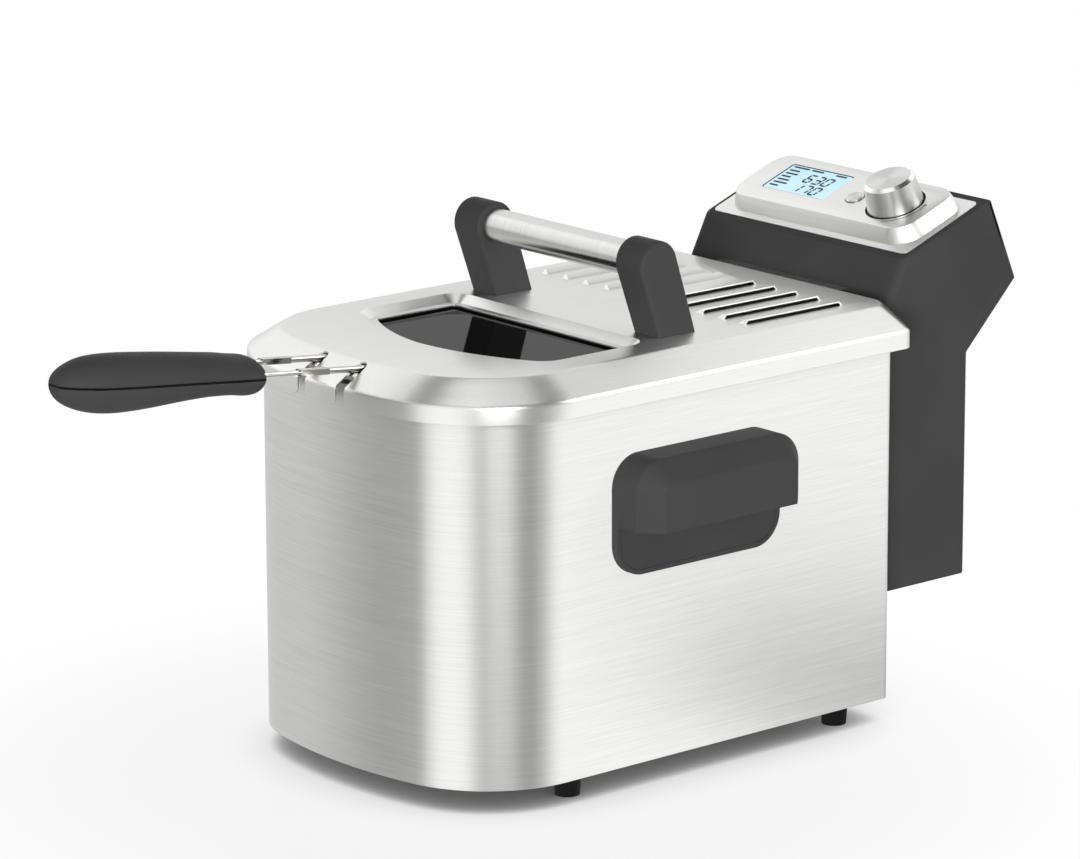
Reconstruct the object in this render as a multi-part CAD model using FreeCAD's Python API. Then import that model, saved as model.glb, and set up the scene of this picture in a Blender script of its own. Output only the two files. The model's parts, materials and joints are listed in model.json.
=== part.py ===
import FreeCAD, Part
import math
import os

from FreeCAD import Placement, Rotation, Vector

# Deep fryer: a stainless housing holds a lift-out oil bowl, a control pod with its heating
# element hooks over the rear wall, and a wire basket and a domed lid sit on top.
# Millimetres, +Z up, front towards -Y. The pieces are drawn about the middle of the housing
# and are moved at the end so that the origin is under the middle of the whole fryer.

# General fits
BODY_GAP = 0.4
RUNNING_GAP = 0.05
SCREW_RADIUS = 1.5
SCREW_HEAD_RADIUS = 3.0
SCREW_HEAD_HEIGHT = 2.0

# Housing: a D in plan, with a bowed front and a flat rear wall
BODY_WIDTH = 218.0
BODY_LENGTH = 307.0
BODY_HEIGHT = 211.0
FRONT_BOW_RADIUS = 274.0
FRONT_CORNER_RADIUS = 64.5
REAR_CORNER_RADIUS = 5.0
WALL_SHEET = 1.0
WALL_FLANGE = 5.5
BASE_SHEET = 2.0
BASE_RIM_HEIGHT = 9.0
BASE_RIB_HEIGHT = 6.0
BASE_RIB_WIDTH = 2.0
BASE_RIB_PITCH = 60.0

# Feet
FOOT_HEIGHT = 13.0
FOOT_RADIUS = 7.8
FOOT_TAPER = 0.9
FOOT_NECK_RADIUS = 3.5
FOOT_SNAP_RADIUS = 5.0
FOOT_SNAP_HEIGHT = 2.5
FOOT_SIDE_INSET = 16.0
FOOT_FRONT_SETBACK = 83.5
FOOT_REAR_SETBACK = 27.5

# Side handles, moulded hoods on a back plate
SIDE_PLATE_LENGTH = 117.0
SIDE_PLATE_HEIGHT = 66.4
SIDE_PLATE_RADIUS = 18.0
SIDE_PLATE_THICKNESS = 4.5
SIDE_PLATE_BOTTOM = 119.9
SIDE_PLATE_SETBACK = 159.6
SIDE_POCKET_DEPTH = 0.8
SIDE_POCKET_LIP = 2.5
GRIP_STEP = 19.0
GRIP_REACH = 30.6
GRIP_BOTTOM = 148.5
GRIP_END_INSET = 11.3
GRIP_TOP_INSET = 11.6
GRIP_FACE_RADIUS = 5.0
GRIP_STEP_EDGE = 1.2
GRIP_FACE_EDGE = 0.8
GRIP_WALL = 3.0
SIDE_SCREW_SPACING = 70.0

# Oil bowl, deep drawn with a rolled rim
BOWL_INSET = 7.0
BOWL_SHEET = 1.2
BOWL_FLOOR = 36.0
BOWL_FLOOR_RADIUS = 22.0
BOWL_REAR_RADIUS = 18.0
BOWL_BEAD_RADIUS = 3.0

# Lid, one pressing with an upright rim and a slanted skirt
LID_OVERHANG = 8.9
LID_REAR_OVERHANG = 7.7
LID_RIM_DROP = 9.5
LID_RIM_HEIGHT = 10.0
LID_SKIRT_RISE = 11.5
LID_SKIRT_RUN = 18.3
LID_SHEET = 1.0
LID_RIM_FOLD = 3.0
LID_TOP_FOLD = 4.0
FOLD_SHARES = (0, 0.5, 1)
LID_REAR_RADIUS = 8.0
LID_TOP_REAR_INSET = 0.6
LID_TOP_REAR_RADIUS = 13.5
LID_NOTCH_WIDTH = 7.0
LID_NOTCH_CORNER = 3.0
LID_LIP_OUTSET = -12.0
LID_LIP_DROP = 14.0
LID_LIP_FLANGE = 5.0
LID_LIP_REAR_RADIUS = 8.0

# Lid window
WINDOW_WIDTH = 162.0
WINDOW_FRONT_SETBACK = 57.5
WINDOW_REAR_SETBACK = 152.0
WINDOW_BOW_RADIUS = 150.0
WINDOW_FRONT_RADIUS = 16.0
WINDOW_REAR_RADIUS = 12.0
WINDOW_DEPTH = 4.0
WINDOW_SLOPE_RUN = 6.0
WINDOW_LEDGE = 4.0
GASKET_THICKNESS = 1.0
GLASS_THICKNESS = 4.0
GLASS_OVERLAP = 3.0
CLAMP_SHEET = 1.5
CLAMP_LAP = 4.0

# Lid vents and odour filter
LOUVRES_PER_SIDE = 5
LOUVRE_FIRST = 11.1
LOUVRE_PITCH = 17.5
LOUVRE_WIDTH = 7.0
LOUVRE_HEIGHT = 2.4
LOUVRE_END_RUN = 3.0
LOUVRE_LIP = 1.2
LOUVRE_SKIN = 0.8
LOUVRE_SETBACK = 216.5
LOUVRE_REAR_MARGIN = 15.5
FILTER_MARGIN = 2.4
FILTER_HEIGHT = 7.0
FILTER_WALL = 1.2
FILTER_SLOT_COUNT = 6

# Lid handle: a steel tube between two leaning posts
TUBE_RADIUS = 9.5
TUBE_WALL = 1.5
TUBE_SPAN = 115.0
TUBE_SOCKET = 12.0
TUBE_RISE = 40.2
TUBE_SETBACK = 161.0
POST_HEAD_RADIUS = 13.0
POST_WIDTH = 22.0
POST_DEPTH = 26.0
POST_BASE_SETBACK = 161.5
POST_OUTER_EDGE = 2.5
POST_INNER_EDGE = 1.5
POST_SCREW_SPACING = 12.0
POST_SCREW_LENGTH = 12.0

# Control pod
POD_WIDTH = 168.0
POD_WALL = 2.5
POD_GAP = 0.8
POD_BOTTOM = 64.5
POD_STEM_DEPTH = 80.5
POD_SEAM = 3.5
POD_CHEEK_RADIUS = 6.0
POD_EDGE = 1.5
POD_SHOULDER_DROP = 16.0
POD_SHOULDER_CHAMFER = 5.0
POD_WAIST_ANGLE = 45.0
PANEL_TILT = 20.6
PANEL_LENGTH = 72.1
PANEL_SETBACK = 31.0
PANEL_RISE = 18.2
POD_FRONT_LEAN = 26.9
POD_BACK_LEAN = 23.1
POD_BACK_LENGTH = 52.2
BOSS_RADIUS = 4.0
COVER_SCREW_SPACING = 140.0
COVER_SCREW_LOW = 16.0
COVER_SCREW_RISE = 100.0
COVER_SCREW_LENGTH = 12.0

# Rails on the housing that the pod slides down
RAIL_SPACING = 110.0
RAIL_WEB = 6.0
RAIL_HEAD = 14.0
RAIL_HEAD_DEPTH = 2.5
RAIL_WEB_DEPTH = 3.2
RAIL_BOTTOM = 90.0
RAIL_TOP = 195.0
RAIL_BLOCK_WALL = 3.0
RAIL_SCREW_INSET = 20.0
RAIL_SCREW_BITE = 3.0

# Panel pieces, placed along the slope of the panel and square to it
PLATE_MARGIN_SIDE = 4.0
PLATE_FRONT = 5.0
PLATE_LENGTH = 61.0
PLATE_THICKNESS = 1.5
PLATE_SINK = 1.0
PLATE_RADIUS = 4.0
CONSOLE_WIDTH = 151.0
CONSOLE_FRONT = 9.8
CONSOLE_LENGTH = 54.0
CONSOLE_RADIUS = 16.0
CONSOLE_HEIGHT = 9.0
CONSOLE_SHOULDER = 2.4
CONSOLE_DRAFT = 1.0
CONSOLE_WALL = 2.0
PANEL_CUT_WIDTH = 128.0
PANEL_CUT_FRONT = 18.0
PANEL_CUT_LENGTH = 39.0
BOARD_THICKNESS = 1.6
BOARD_LAP = 5.0

# Display
DISPLAY_X = -29.7
DISPLAY_S = 38.7
DISPLAY_WIDTH = 51.4
DISPLAY_LENGTH = 27.5
DISPLAY_LAP = 1.5
LENS_PLATE = 1.2
LENS_RECESS = 0.3

# Select knob on a push encoder
KNOB_X = 44.8
KNOB_S = 36.2
KNOB_BASE_RADIUS = 16.4
KNOB_TOP_RADIUS = 14.6
KNOB_HEIGHT = 15.1
KNOB_SKIRT = 1.5
KNOB_CHAMFER = 1.2
KNOB_HOLLOW_RADIUS = 12.0
KNOB_HOLLOW_DEPTH = 8.0
KNOB_HUB_RADIUS = 5.0
KNOB_TRAVEL = 1.2
SHAFT_RADIUS = 2.0
SHAFT_BITE = 11.0
ROTOR_RADIUS = 3.3
ENCODER_SIZE = 13.0
ENCODER_HEIGHT = 6.0
ENCODER_FLOOR = 2.0

# Start button and its switch
BUTTON_X = 14.5
BUTTON_S = 33.5
BUTTON_RADIUS = 5.5
BUTTON_PROUD = 1.1
BUTTON_TRAVEL = 0.8
BUTTON_FLANGE = 1.5
BUTTON_FLANGE_HEIGHT = 1.5
BUTTON_CHAMFER = 0.6
SWITCH_SIZE = 6.0
SWITCH_BODY = 3.5
SWITCH_STEM_RADIUS = 1.7

# Pieces inside the pod
POWER_BOARD_WIDTH = 116.0
POWER_BOARD_HEIGHT = 90.0
POWER_BOARD_BOTTOM = 85.0
POWER_BOARD_SETBACK = 31.0
POWER_BOSS_INSET = 12.0
RELAY_SIZE = Vector(28.0, 16.0, 20.0)
TERMINAL_SIZE = Vector(42.0, 12.0, 14.0)
INTERLOCK_SIZE = Vector(20.0, 7.0, 10.0)
INTERLOCK_BOTTOM = 180.0
CUTOUT_RADIUS = 8.0
CUTOUT_HEIGHT = 7.0
CUTOUT_X = 25.0
INLET_X = -50.0
INLET_BOTTOM_GAP = 24.0
INLET_RADIUS = 7.0
INLET_FLANGE = 3.0
INLET_FLANGE_THICKNESS = 2.0
INLET_BORE_RADIUS = 3.8

# Heating element and its head
HEAD_WIDTH = 104.0
BRIDGE_HEIGHT = 3.8
BRIDGE_REACH_IN = 14.0
HEAD_DROP_THICKNESS = 3.2
HEAD_BOX_DEPTH = 17.0
HEAD_BOX_HEIGHT = 28.0
HEAD_BOX_TOP_DROP = 6.0
ELEMENT_RADIUS = 3.25
ELEMENT_LEVEL = 62.0
ELEMENT_BITE = 10.0
ELEMENT_LEG_X = 22.0
ELEMENT_MIDDLE_X = 56.0
ELEMENT_OUTER_X = 82.0
ELEMENT_INNER_SETBACK = 130.5
ELEMENT_REAR_SETBACK = 42.5
ELEMENT_FRONT_SETBACK = 21.5
ELEMENT_BEND = 14.0
PROBE_RADIUS = 2.0
PROBE_LEVEL = 71.0
PROBE_SETBACK = 87.5

# Wire basket
BASKET_WIDTH = 160.0
BASKET_FRONT_SETBACK = 35.5
BASKET_REAR_SETBACK = 41.5
BASKET_FLOOR = 82.0
BASKET_HEIGHT = 114.0
MESH_SHEET = 1.2
MESH_PITCH = 20.0
MESH_WIRE = 4.0
RIM_WIRE_RADIUS = 2.0
BASE_WIRE_RADIUS = 1.5
BASKET_CORNER_RADIUS = 8.0

# Basket arms, rods and handle
ARM_X = 16.4
ARM_RADIUS = 1.8
ARM_BEND = 10.0
ARM_FOOT = 130.0
ARM_SLOPE = 6.0
ARM_EXIT_DROP = 3.7
CRIMP_START = 26.0
CRIMP_LENGTH = 19.0
CRIMP_WIDTH = 5.0
CRIMP_THICKNESS = 3.2
ROD_RADIUS = 1.3
ROD_BITE = 14.0
ROD_SOCKET = 30.0
HANDLE_START = 65.5
HANDLE_LENGTH = 124.0
HANDLE_SEAM_DROP = 1.9
HANDLE_SEAM_GROOVE = 0.5
HANDLE_SCREW_FROM_END = 58.0
# Distance from the handle's inner end, half width, rise above the seam and depth below it
HANDLE_NECK_SECTIONS = (
    (0.0, 15.2, 6.6, 8.2),
    (1.4, 17.6, 8.6, 10.4),
    (5.0, 18.8, 9.8, 11.4),
    (14.0, 18.8, 10.6, 10.8),
    (32.0, 18.4, 12.2, 11.0),
)
# The same for the belly and the rounded end, with the distance from the outer end
HANDLE_BELLY_SECTIONS = (
    (69.0, 18.0, 13.6, 13.4),
    (46.0, 18.0, 14.6, 15.8),
    (28.0, 17.2, 14.6, 16.0),
    (14.0, 14.6, 12.6, 13.6),
    (5.0, 10.4, 8.8, 9.8),
    (1.4, 7.2, 6.0, 6.7),
    (0.0, 4.6, 3.7, 4.1),
)

# Derived places
HALF_WIDTH = BODY_WIDTH / 2
FRONT_Y = -BODY_LENGTH / 2
REAR_Y = BODY_LENGTH / 2
WALL_BOTTOM = FOOT_HEIGHT
WALL_TOP = FOOT_HEIGHT + BODY_HEIGHT
BASE_UNDER = WALL_BOTTOM + WALL_SHEET
BEAD_OUTSET = BOWL_BEAD_RADIUS - BOWL_INSET - BOWL_SHEET / 2
BEAD_LEVEL = WALL_TOP + BODY_GAP + BOWL_BEAD_RADIUS
BEAD_TOP = BEAD_LEVEL + BOWL_BEAD_RADIUS
LID_RIM_BOTTOM = WALL_TOP - LID_RIM_DROP
LID_RIM_TOP = LID_RIM_BOTTOM + LID_RIM_HEIGHT
LID_TOP = LID_RIM_TOP + LID_SKIRT_RISE
LID_UNDER = LID_TOP - LID_SHEET
LID_TOP_OUTSET = LID_OVERHANG - LID_SKIRT_RUN
LID_TOP_FRONT_Y = FRONT_Y - LID_TOP_OUTSET
GASKET_TOP = LID_TOP - WINDOW_DEPTH - LID_SHEET
GLASS_TOP = GASKET_TOP - GASKET_THICKNESS
GLASS_BOTTOM = GLASS_TOP - GLASS_THICKNESS
OPENING_INSET = WINDOW_SLOPE_RUN + WINDOW_LEDGE
GLASS_INSET = OPENING_INSET - GLASS_OVERLAP
LOUVRE_LENGTH = BODY_LENGTH - LOUVRE_SETBACK - LOUVRE_REAR_MARGIN
TUBE_Y = FRONT_Y + TUBE_SETBACK
TUBE_Z = LID_TOP + TUBE_RISE
POST_INNER_X = TUBE_SPAN / 2
POST_OUTER_X = POST_INNER_X + POST_WIDTH
POST_FRONT_Y = FRONT_Y + POST_BASE_SETBACK
PANEL_Y = REAR_Y + PANEL_SETBACK
PANEL_Z = LID_TOP + PANEL_RISE
PANEL_PLACE = Placement(Vector(0, PANEL_Y, PANEL_Z), Rotation(Vector(1, 0, 0), PANEL_TILT))
POD_FRONT_Y = REAR_Y + POD_GAP
POD_REAR_Y = POD_FRONT_Y + POD_STEM_DEPTH
PLATE_TOP = PLATE_THICKNESS - PLATE_SINK
CONSOLE_TOP = PLATE_TOP + CONSOLE_HEIGHT
CONSOLE_UNDER = CONSOLE_TOP - CONSOLE_WALL
BOARD_TOP = -POD_WALL
POWER_BOARD_Y = REAR_Y + POWER_BOARD_SETBACK
POWER_BOARD_BACK = POWER_BOARD_Y + BOARD_THICKNESS
KNOB_BOTTOM = CONSOLE_TOP + KNOB_TRAVEL + BODY_GAP
SHAFT_BOTTOM = BOARD_TOP + ENCODER_FLOOR + KNOB_TRAVEL + BODY_GAP
BUTTON_BOTTOM = CONSOLE_UNDER - BODY_GAP - BUTTON_TRAVEL - BUTTON_FLANGE_HEIGHT
BRIDGE_BOTTOM = BEAD_TOP + BODY_GAP
BRIDGE_TOP = BRIDGE_BOTTOM + BRIDGE_HEIGHT
BOWL_INSIDE = BOWL_INSET + BOWL_SHEET
HEAD_REAR_Y = REAR_Y - BOWL_INSIDE - BODY_GAP
HEAD_BOX_TOP = BEAD_TOP - HEAD_BOX_TOP_DROP
HEAD_BOX_BOTTOM = HEAD_BOX_TOP - HEAD_BOX_HEIGHT
ELEMENT_LEG_Y = HEAD_REAR_Y - HEAD_BOX_DEPTH / 2
ELEMENT_INNER_TURN = REAR_Y - ELEMENT_INNER_SETBACK
ELEMENT_REAR_TURN = REAR_Y - ELEMENT_REAR_SETBACK
ELEMENT_FRONT_TURN = FRONT_Y + ELEMENT_FRONT_SETBACK
PROBE_TIP = REAR_Y - PROBE_SETBACK
BASKET_FRONT_Y = FRONT_Y + BASKET_FRONT_SETBACK
BASKET_REAR_Y = REAR_Y - BASKET_REAR_SETBACK
BASKET_LENGTH = BASKET_REAR_Y - BASKET_FRONT_Y
BASKET_RIM_LEVEL = BASKET_FLOOR + BASKET_HEIGHT
ARM_Y = BASKET_FRONT_Y - 2 * RIM_WIRE_RADIUS - RUNNING_GAP - ARM_RADIUS
ARM_EXIT_Z = LID_TOP - ARM_EXIT_DROP
SLOPE_SIN = math.sin(math.radians(ARM_SLOPE))
SLOPE_COS = math.cos(math.radians(ARM_SLOPE))
FACE_FRONT = Rotation(Vector(1, 0, 0), 90)
FACE_SIDE = Rotation(Vector(1, 1, 1), 120)
SIDE_PLACE = Placement(Vector(HALF_WIDTH, 0, 0), FACE_SIDE)
SIDE_MIDDLE_Y = FRONT_Y + SIDE_PLATE_SETBACK
SIDE_PLATE_TOP = SIDE_PLATE_BOTTOM + SIDE_PLATE_HEIGHT
SIDE_SCREW_LENGTH = WALL_SHEET + SIDE_PLATE_THICKNESS - SIDE_POCKET_DEPTH
RAIL_SCREW_LENGTH = WALL_SHEET + RAIL_SCREW_BITE


# Drawing helpers

def box(low, high):
    size = high - low
    return Part.makeBox(size.x, size.y, size.z, low)


def cylinder(base, axis, radius, length):
    return Part.makeCylinder(radius, length, base, axis)


def fuse(first, *others):
    return first.fuse(list(others)).removeSplitter()


def prism(wire, direction):
    return Part.Face(wire).extrude(direction)


def upright(wire, height):
    return prism(wire, Vector(0, 0, height))


def loft(*wires):
    return Part.makeLoft(list(wires), True, True)


def polygon(points):
    return Part.makePolygon(list(points) + [points[0]])


def placed(shape, placement):
    moved = shape.copy()
    moved.Placement = placement.multiply(moved.Placement)
    return moved


def mirrored(shape):
    return shape.mirror(Vector(0, 0, 0), Vector(1, 0, 0))


def line(start, end):
    return Part.LineSegment(start, end).toShape()


def arc(start, middle, end):
    return Part.Arc(start, middle, end).toShape()


def rounded_rectangle(x0, x1, y0, y1, radius, z):
    back = radius * (1 - math.sqrt(0.5))
    edges = [
        line(Vector(x0 + radius, y0, z), Vector(x1 - radius, y0, z)),
        arc(Vector(x1 - radius, y0, z), Vector(x1 - back, y0 + back, z), Vector(x1, y0 + radius, z)),
        line(Vector(x1, y0 + radius, z), Vector(x1, y1 - radius, z)),
        arc(Vector(x1, y1 - radius, z), Vector(x1 - back, y1 - back, z), Vector(x1 - radius, y1, z)),
        line(Vector(x1 - radius, y1, z), Vector(x0 + radius, y1, z)),
        arc(Vector(x0 + radius, y1, z), Vector(x0 + back, y1 - back, z), Vector(x0, y1 - radius, z)),
        line(Vector(x0, y1 - radius, z), Vector(x0, y0 + radius, z)),
        arc(Vector(x0, y0 + radius, z), Vector(x0 + back, y0 + back, z), Vector(x0 + radius, y0, z)),
    ]
    return Part.Wire(edges)


def bowed_outline(half_width, front, rear, bow, corner, rear_radius, z):
    """Closed D outline: bowed front, round front corners, straight sides and a flat rear."""
    bow_y = front + bow
    corner_x = half_width - corner
    corner_y = bow_y - math.sqrt((bow - corner) ** 2 - corner_x ** 2)
    reach = bow / (bow - corner)
    meet_x = corner_x * reach
    meet_y = bow_y + (corner_y - bow_y) * reach
    half_turn = math.atan2(meet_y - corner_y, meet_x - corner_x) / 2
    mid_x = corner_x + corner * math.cos(half_turn)
    mid_y = corner_y + corner * math.sin(half_turn)
    back = rear_radius * (1 - math.sqrt(0.5))
    round_x = half_width - back
    round_y = rear - back
    inner_x = half_width - rear_radius
    side_y = rear - rear_radius
    edges = [
        arc(Vector(-meet_x, meet_y, z), Vector(0, front, z), Vector(meet_x, meet_y, z)),
        arc(Vector(meet_x, meet_y, z), Vector(mid_x, mid_y, z), Vector(half_width, corner_y, z)),
        line(Vector(half_width, corner_y, z), Vector(half_width, side_y, z)),
        arc(Vector(half_width, side_y, z), Vector(round_x, round_y, z), Vector(inner_x, rear, z)),
        line(Vector(inner_x, rear, z), Vector(-inner_x, rear, z)),
        arc(Vector(-inner_x, rear, z), Vector(-round_x, round_y, z), Vector(-half_width, side_y, z)),
        line(Vector(-half_width, side_y, z), Vector(-half_width, corner_y, z)),
        arc(Vector(-half_width, corner_y, z), Vector(-mid_x, mid_y, z), Vector(-meet_x, meet_y, z)),
    ]
    return Part.Wire(edges)


def body_outline(outset, z, rear_radius, rear_outset=None):
    """The housing's outline moved out by outset, or in where it is negative."""
    rear_move = outset if rear_outset is None else rear_outset
    return bowed_outline(
        HALF_WIDTH + outset, FRONT_Y - outset, REAR_Y + rear_move,
        FRONT_BOW_RADIUS + outset, FRONT_CORNER_RADIUS + outset, rear_radius, z)


def window_outline(inset, z):
    return bowed_outline(
        WINDOW_WIDTH / 2 - inset, FRONT_Y + WINDOW_FRONT_SETBACK + inset,
        FRONT_Y + WINDOW_REAR_SETBACK - inset, WINDOW_BOW_RADIUS - inset,
        WINDOW_FRONT_RADIUS - inset, WINDOW_REAR_RADIUS - inset, z)


def bent_path(corners):
    """Straight runs joined by tangent arcs; each corner is a point and its bend radius."""
    edges = []
    start = corners[0][0]
    for index in range(1, len(corners) - 1):
        point, radius = corners[index]
        back = (corners[index - 1][0] - point).normalize()
        ahead = (corners[index + 1][0] - point).normalize()
        half_angle = back.getAngle(ahead) / 2
        run = radius / math.tan(half_angle)
        first = point + back * run
        last = point + ahead * run
        bisector = (back + ahead).normalize()
        middle = point + bisector * (radius / math.sin(half_angle) - radius)
        if (first - start).Length > RUNNING_GAP:
            edges.append(line(start, first))
        edges.append(arc(first, middle, last))
        start = last
    edges.append(line(start, corners[-1][0]))
    return Part.Wire(edges)


def wire_along(path, radius):
    """A round wire whose centre follows the path."""
    first = path.OrderedEdges[0]
    start = first.valueAt(first.FirstParameter)
    heading = first.tangentAt(first.FirstParameter)
    section = Part.Wire(Part.Circle(start, heading, radius).toShape())
    return path.makePipeShell([section], True, False)


def level_edges(shape, z):
    """The edges that lie flat at one level."""
    return [edge for edge in shape.Edges
            if abs(edge.BoundBox.ZMin - z) < RUNNING_GAP and abs(edge.BoundBox.ZMax - z) < RUNNING_GAP]


def turned(profile, base, axis):
    """A revolved piece from (radius, height) points, standing on base along axis."""
    points = [Vector(radius, 0, height) for radius, height in profile]
    solid = Part.Face(polygon(points)).revolve(Vector(0, 0, 0), Vector(0, 0, 1), 360)
    return placed(solid, Placement(base, Rotation(Vector(0, 0, 1), axis)))


def screw(seat, axis, length):
    """A pan-head screw whose head rests on seat and whose shank runs along axis."""
    head = cylinder(seat - axis * SCREW_HEAD_HEIGHT, axis, SCREW_HEAD_RADIUS, SCREW_HEAD_HEIGHT)
    return head.fuse(cylinder(seat, axis, SCREW_RADIUS, length)).removeSplitter()


def screw_hole(seat, axis, length):
    return cylinder(seat, axis, SCREW_RADIUS + RUNNING_GAP, length)


def inset_polygon(points, insets):
    """A counter-clockwise polygon with each side moved in by its own distance."""
    lines = []
    count = len(points)
    for index, inset in enumerate(insets):
        start = points[index]
        along = (points[(index + 1) % count] - start).normalize()
        lines.append((start + Vector(-along.y, along.x, 0) * inset, along))
    corners = []
    for index in range(count):
        base, along = lines[index - 1]
        other, across = lines[index]
        turn = along.x * across.y - along.y * across.x
        apart = other - base
        corners.append(base + along * ((apart.x * across.y - apart.y * across.x) / turn))
    return corners


# Housing

def side_screw_seats(side):
    """Where the screws of one side handle rest on the inside of the wall."""
    level = (SIDE_PLATE_TOP + GRIP_BOTTOM) / 2
    inside = HALF_WIDTH - WALL_SHEET
    rows = [SIDE_MIDDLE_Y + step * SIDE_SCREW_SPACING / 2 for step in (-1, 1)]
    return [Vector(side * inside, row, level) for row in rows]


def rail_screw_seats():
    inside = REAR_Y - WALL_SHEET
    levels = (RAIL_BOTTOM + RAIL_SCREW_INSET, RAIL_TOP - RAIL_SCREW_INSET)
    return [Vector(side * RAIL_SPACING / 2, inside, level) for side in (-1, 1) for level in levels]


def outer_wall():
    tall = upright(body_outline(0, WALL_BOTTOM, REAR_CORNER_RADIUS), BODY_HEIGHT)
    inner_radius = REAR_CORNER_RADIUS - WALL_SHEET
    hollow = upright(
        body_outline(-WALL_SHEET, WALL_BOTTOM + WALL_SHEET, inner_radius), BODY_HEIGHT - 2 * WALL_SHEET)
    mouth = upright(body_outline(-WALL_FLANGE, WALL_BOTTOM, inner_radius), BODY_HEIGHT)
    wall = tall.cut([hollow, mouth])
    holes = []
    for side in (-1, 1):
        for seat in side_screw_seats(side):
            holes.append(screw_hole(seat, Vector(side, 0, 0), SIDE_SCREW_LENGTH))
    for seat in rail_screw_seats():
        holes.append(screw_hole(seat, Vector(0, 1, 0), RAIL_SCREW_LENGTH))
    return wall.cut(holes)


def foot_places():
    across = HALF_WIDTH - FOOT_SIDE_INSET
    rows = (FRONT_Y + FOOT_FRONT_SETBACK, REAR_Y - FOOT_REAR_SETBACK)
    return [Vector(side * across, row, 0) for side in (-1, 1) for row in rows]


def base_plate():
    """A pan inside the wall, with an upturned rim and cross ribs, resting on the wall's lower flange."""
    outset = -WALL_SHEET - RUNNING_GAP
    radius = REAR_CORNER_RADIUS - WALL_SHEET
    block = upright(body_outline(outset, BASE_UNDER, radius), BASE_SHEET + BASE_RIM_HEIGHT)
    hollow = upright(body_outline(outset - BASE_SHEET, BASE_UNDER + BASE_SHEET, radius), BASE_RIM_HEIGHT)
    pan = block.cut(hollow)
    ribs = []
    reach = HALF_WIDTH - 2 * WALL_SHEET - FOOT_SIDE_INSET - FOOT_SNAP_RADIUS
    low_z = BASE_UNDER + BASE_SHEET
    for step in (-1, 0, 1):
        middle = step * BASE_RIB_PITCH
        ribs.append(box(
            Vector(-reach, middle - BASE_RIB_WIDTH / 2, low_z),
            Vector(reach, middle + BASE_RIB_WIDTH / 2, low_z + BASE_RIB_HEIGHT)))
    holes = [cylinder(place, Vector(0, 0, 1), FOOT_NECK_RADIUS, WALL_TOP) for place in foot_places()]
    return fuse(pan, *ribs).cut(holes)


def feet():
    plate_top = BASE_UNDER + BASE_SHEET
    profile = [
        (0, 0), (FOOT_RADIUS - FOOT_TAPER, 0), (FOOT_RADIUS, BASE_UNDER),
        (FOOT_NECK_RADIUS, BASE_UNDER), (FOOT_NECK_RADIUS, plate_top),
        (FOOT_SNAP_RADIUS, plate_top), (FOOT_NECK_RADIUS, plate_top + FOOT_SNAP_HEIGHT),
        (0, plate_top + FOOT_SNAP_HEIGHT),
    ]
    return Part.makeCompound([turned(profile, place, Vector(0, 0, 1)) for place in foot_places()])


def side_handle():
    """Right-hand handle, drawn flat with x along the wall, y up and z out of the wall."""
    low_u = SIDE_MIDDLE_Y - SIDE_PLATE_LENGTH / 2
    high_u = SIDE_MIDDLE_Y + SIDE_PLATE_LENGTH / 2

    def plate_wire(inset, out):
        return rounded_rectangle(
            low_u + inset, high_u - inset, SIDE_PLATE_BOTTOM + inset, SIDE_PLATE_TOP - inset,
            SIDE_PLATE_RADIUS - inset, out)

    def face_wire(inset, out):
        ends = GRIP_END_INSET + inset
        rise = GRIP_TOP_INSET + inset
        return rounded_rectangle(
            low_u + ends, high_u - ends, SIDE_PLATE_BOTTOM + rise, SIDE_PLATE_TOP - rise,
            GRIP_FACE_RADIUS, out)

    hood = loft(plate_wire(0, GRIP_STEP), face_wire(0, GRIP_REACH))
    outside = fuse(upright(plate_wire(0, 0), GRIP_STEP), hood)
    outside = outside.makeFillet(GRIP_STEP_EDGE, level_edges(outside, GRIP_STEP))
    outside = outside.makeFillet(GRIP_FACE_EDGE, level_edges(outside, GRIP_REACH))
    pocket_floor = SIDE_PLATE_THICKNESS - SIDE_POCKET_DEPTH
    inner_step = GRIP_STEP - GRIP_WALL / 2
    inside = upright(plate_wire(SIDE_POCKET_LIP, pocket_floor), inner_step - pocket_floor).fuse(
        loft(plate_wire(SIDE_POCKET_LIP, inner_step), face_wire(GRIP_WALL / 2, GRIP_REACH - GRIP_WALL)))
    below = box(
        Vector(low_u, SIDE_PLATE_BOTTOM, SIDE_PLATE_THICKNESS), Vector(high_u, GRIP_BOTTOM, GRIP_REACH))
    handle = placed(outside.cut([inside, below]).removeSplitter(), SIDE_PLACE)
    holes = [screw_hole(seat, Vector(1, 0, 0), SIDE_SCREW_LENGTH) for seat in side_screw_seats(1)]
    return handle.cut(holes)


def side_handle_screws():
    screws = []
    for side in (-1, 1):
        for seat in side_screw_seats(side):
            screws.append(screw(seat, Vector(side, 0, 0), SIDE_SCREW_LENGTH))
    return Part.makeCompound(screws)


def rail_section(side, gap):
    """Plan outline of one T rail on the rear wall, swelled by gap."""
    middle = side * RAIL_SPACING / 2
    web = RAIL_WEB / 2 + gap
    head = RAIL_HEAD / 2 + gap
    neck_y = REAR_Y + RAIL_WEB_DEPTH - gap
    end_y = REAR_Y + RAIL_WEB_DEPTH + RAIL_HEAD_DEPTH + gap
    corners = [
        (-web, REAR_Y), (web, REAR_Y), (web, neck_y), (head, neck_y),
        (head, end_y), (-head, end_y), (-head, neck_y), (-web, neck_y),
    ]
    return [Vector(middle + across, along, 0) for across, along in corners]


def pod_rails():
    rails = []
    for side in (-1, 1):
        outline = polygon([point + Vector(0, 0, RAIL_BOTTOM) for point in rail_section(side, 0)])
        rails.append(upright(outline, RAIL_TOP - RAIL_BOTTOM))
    holes = [screw_hole(seat, Vector(0, 1, 0), RAIL_SCREW_LENGTH) for seat in rail_screw_seats()]
    return Part.makeCompound([rail.cut(holes) for rail in rails])


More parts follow.
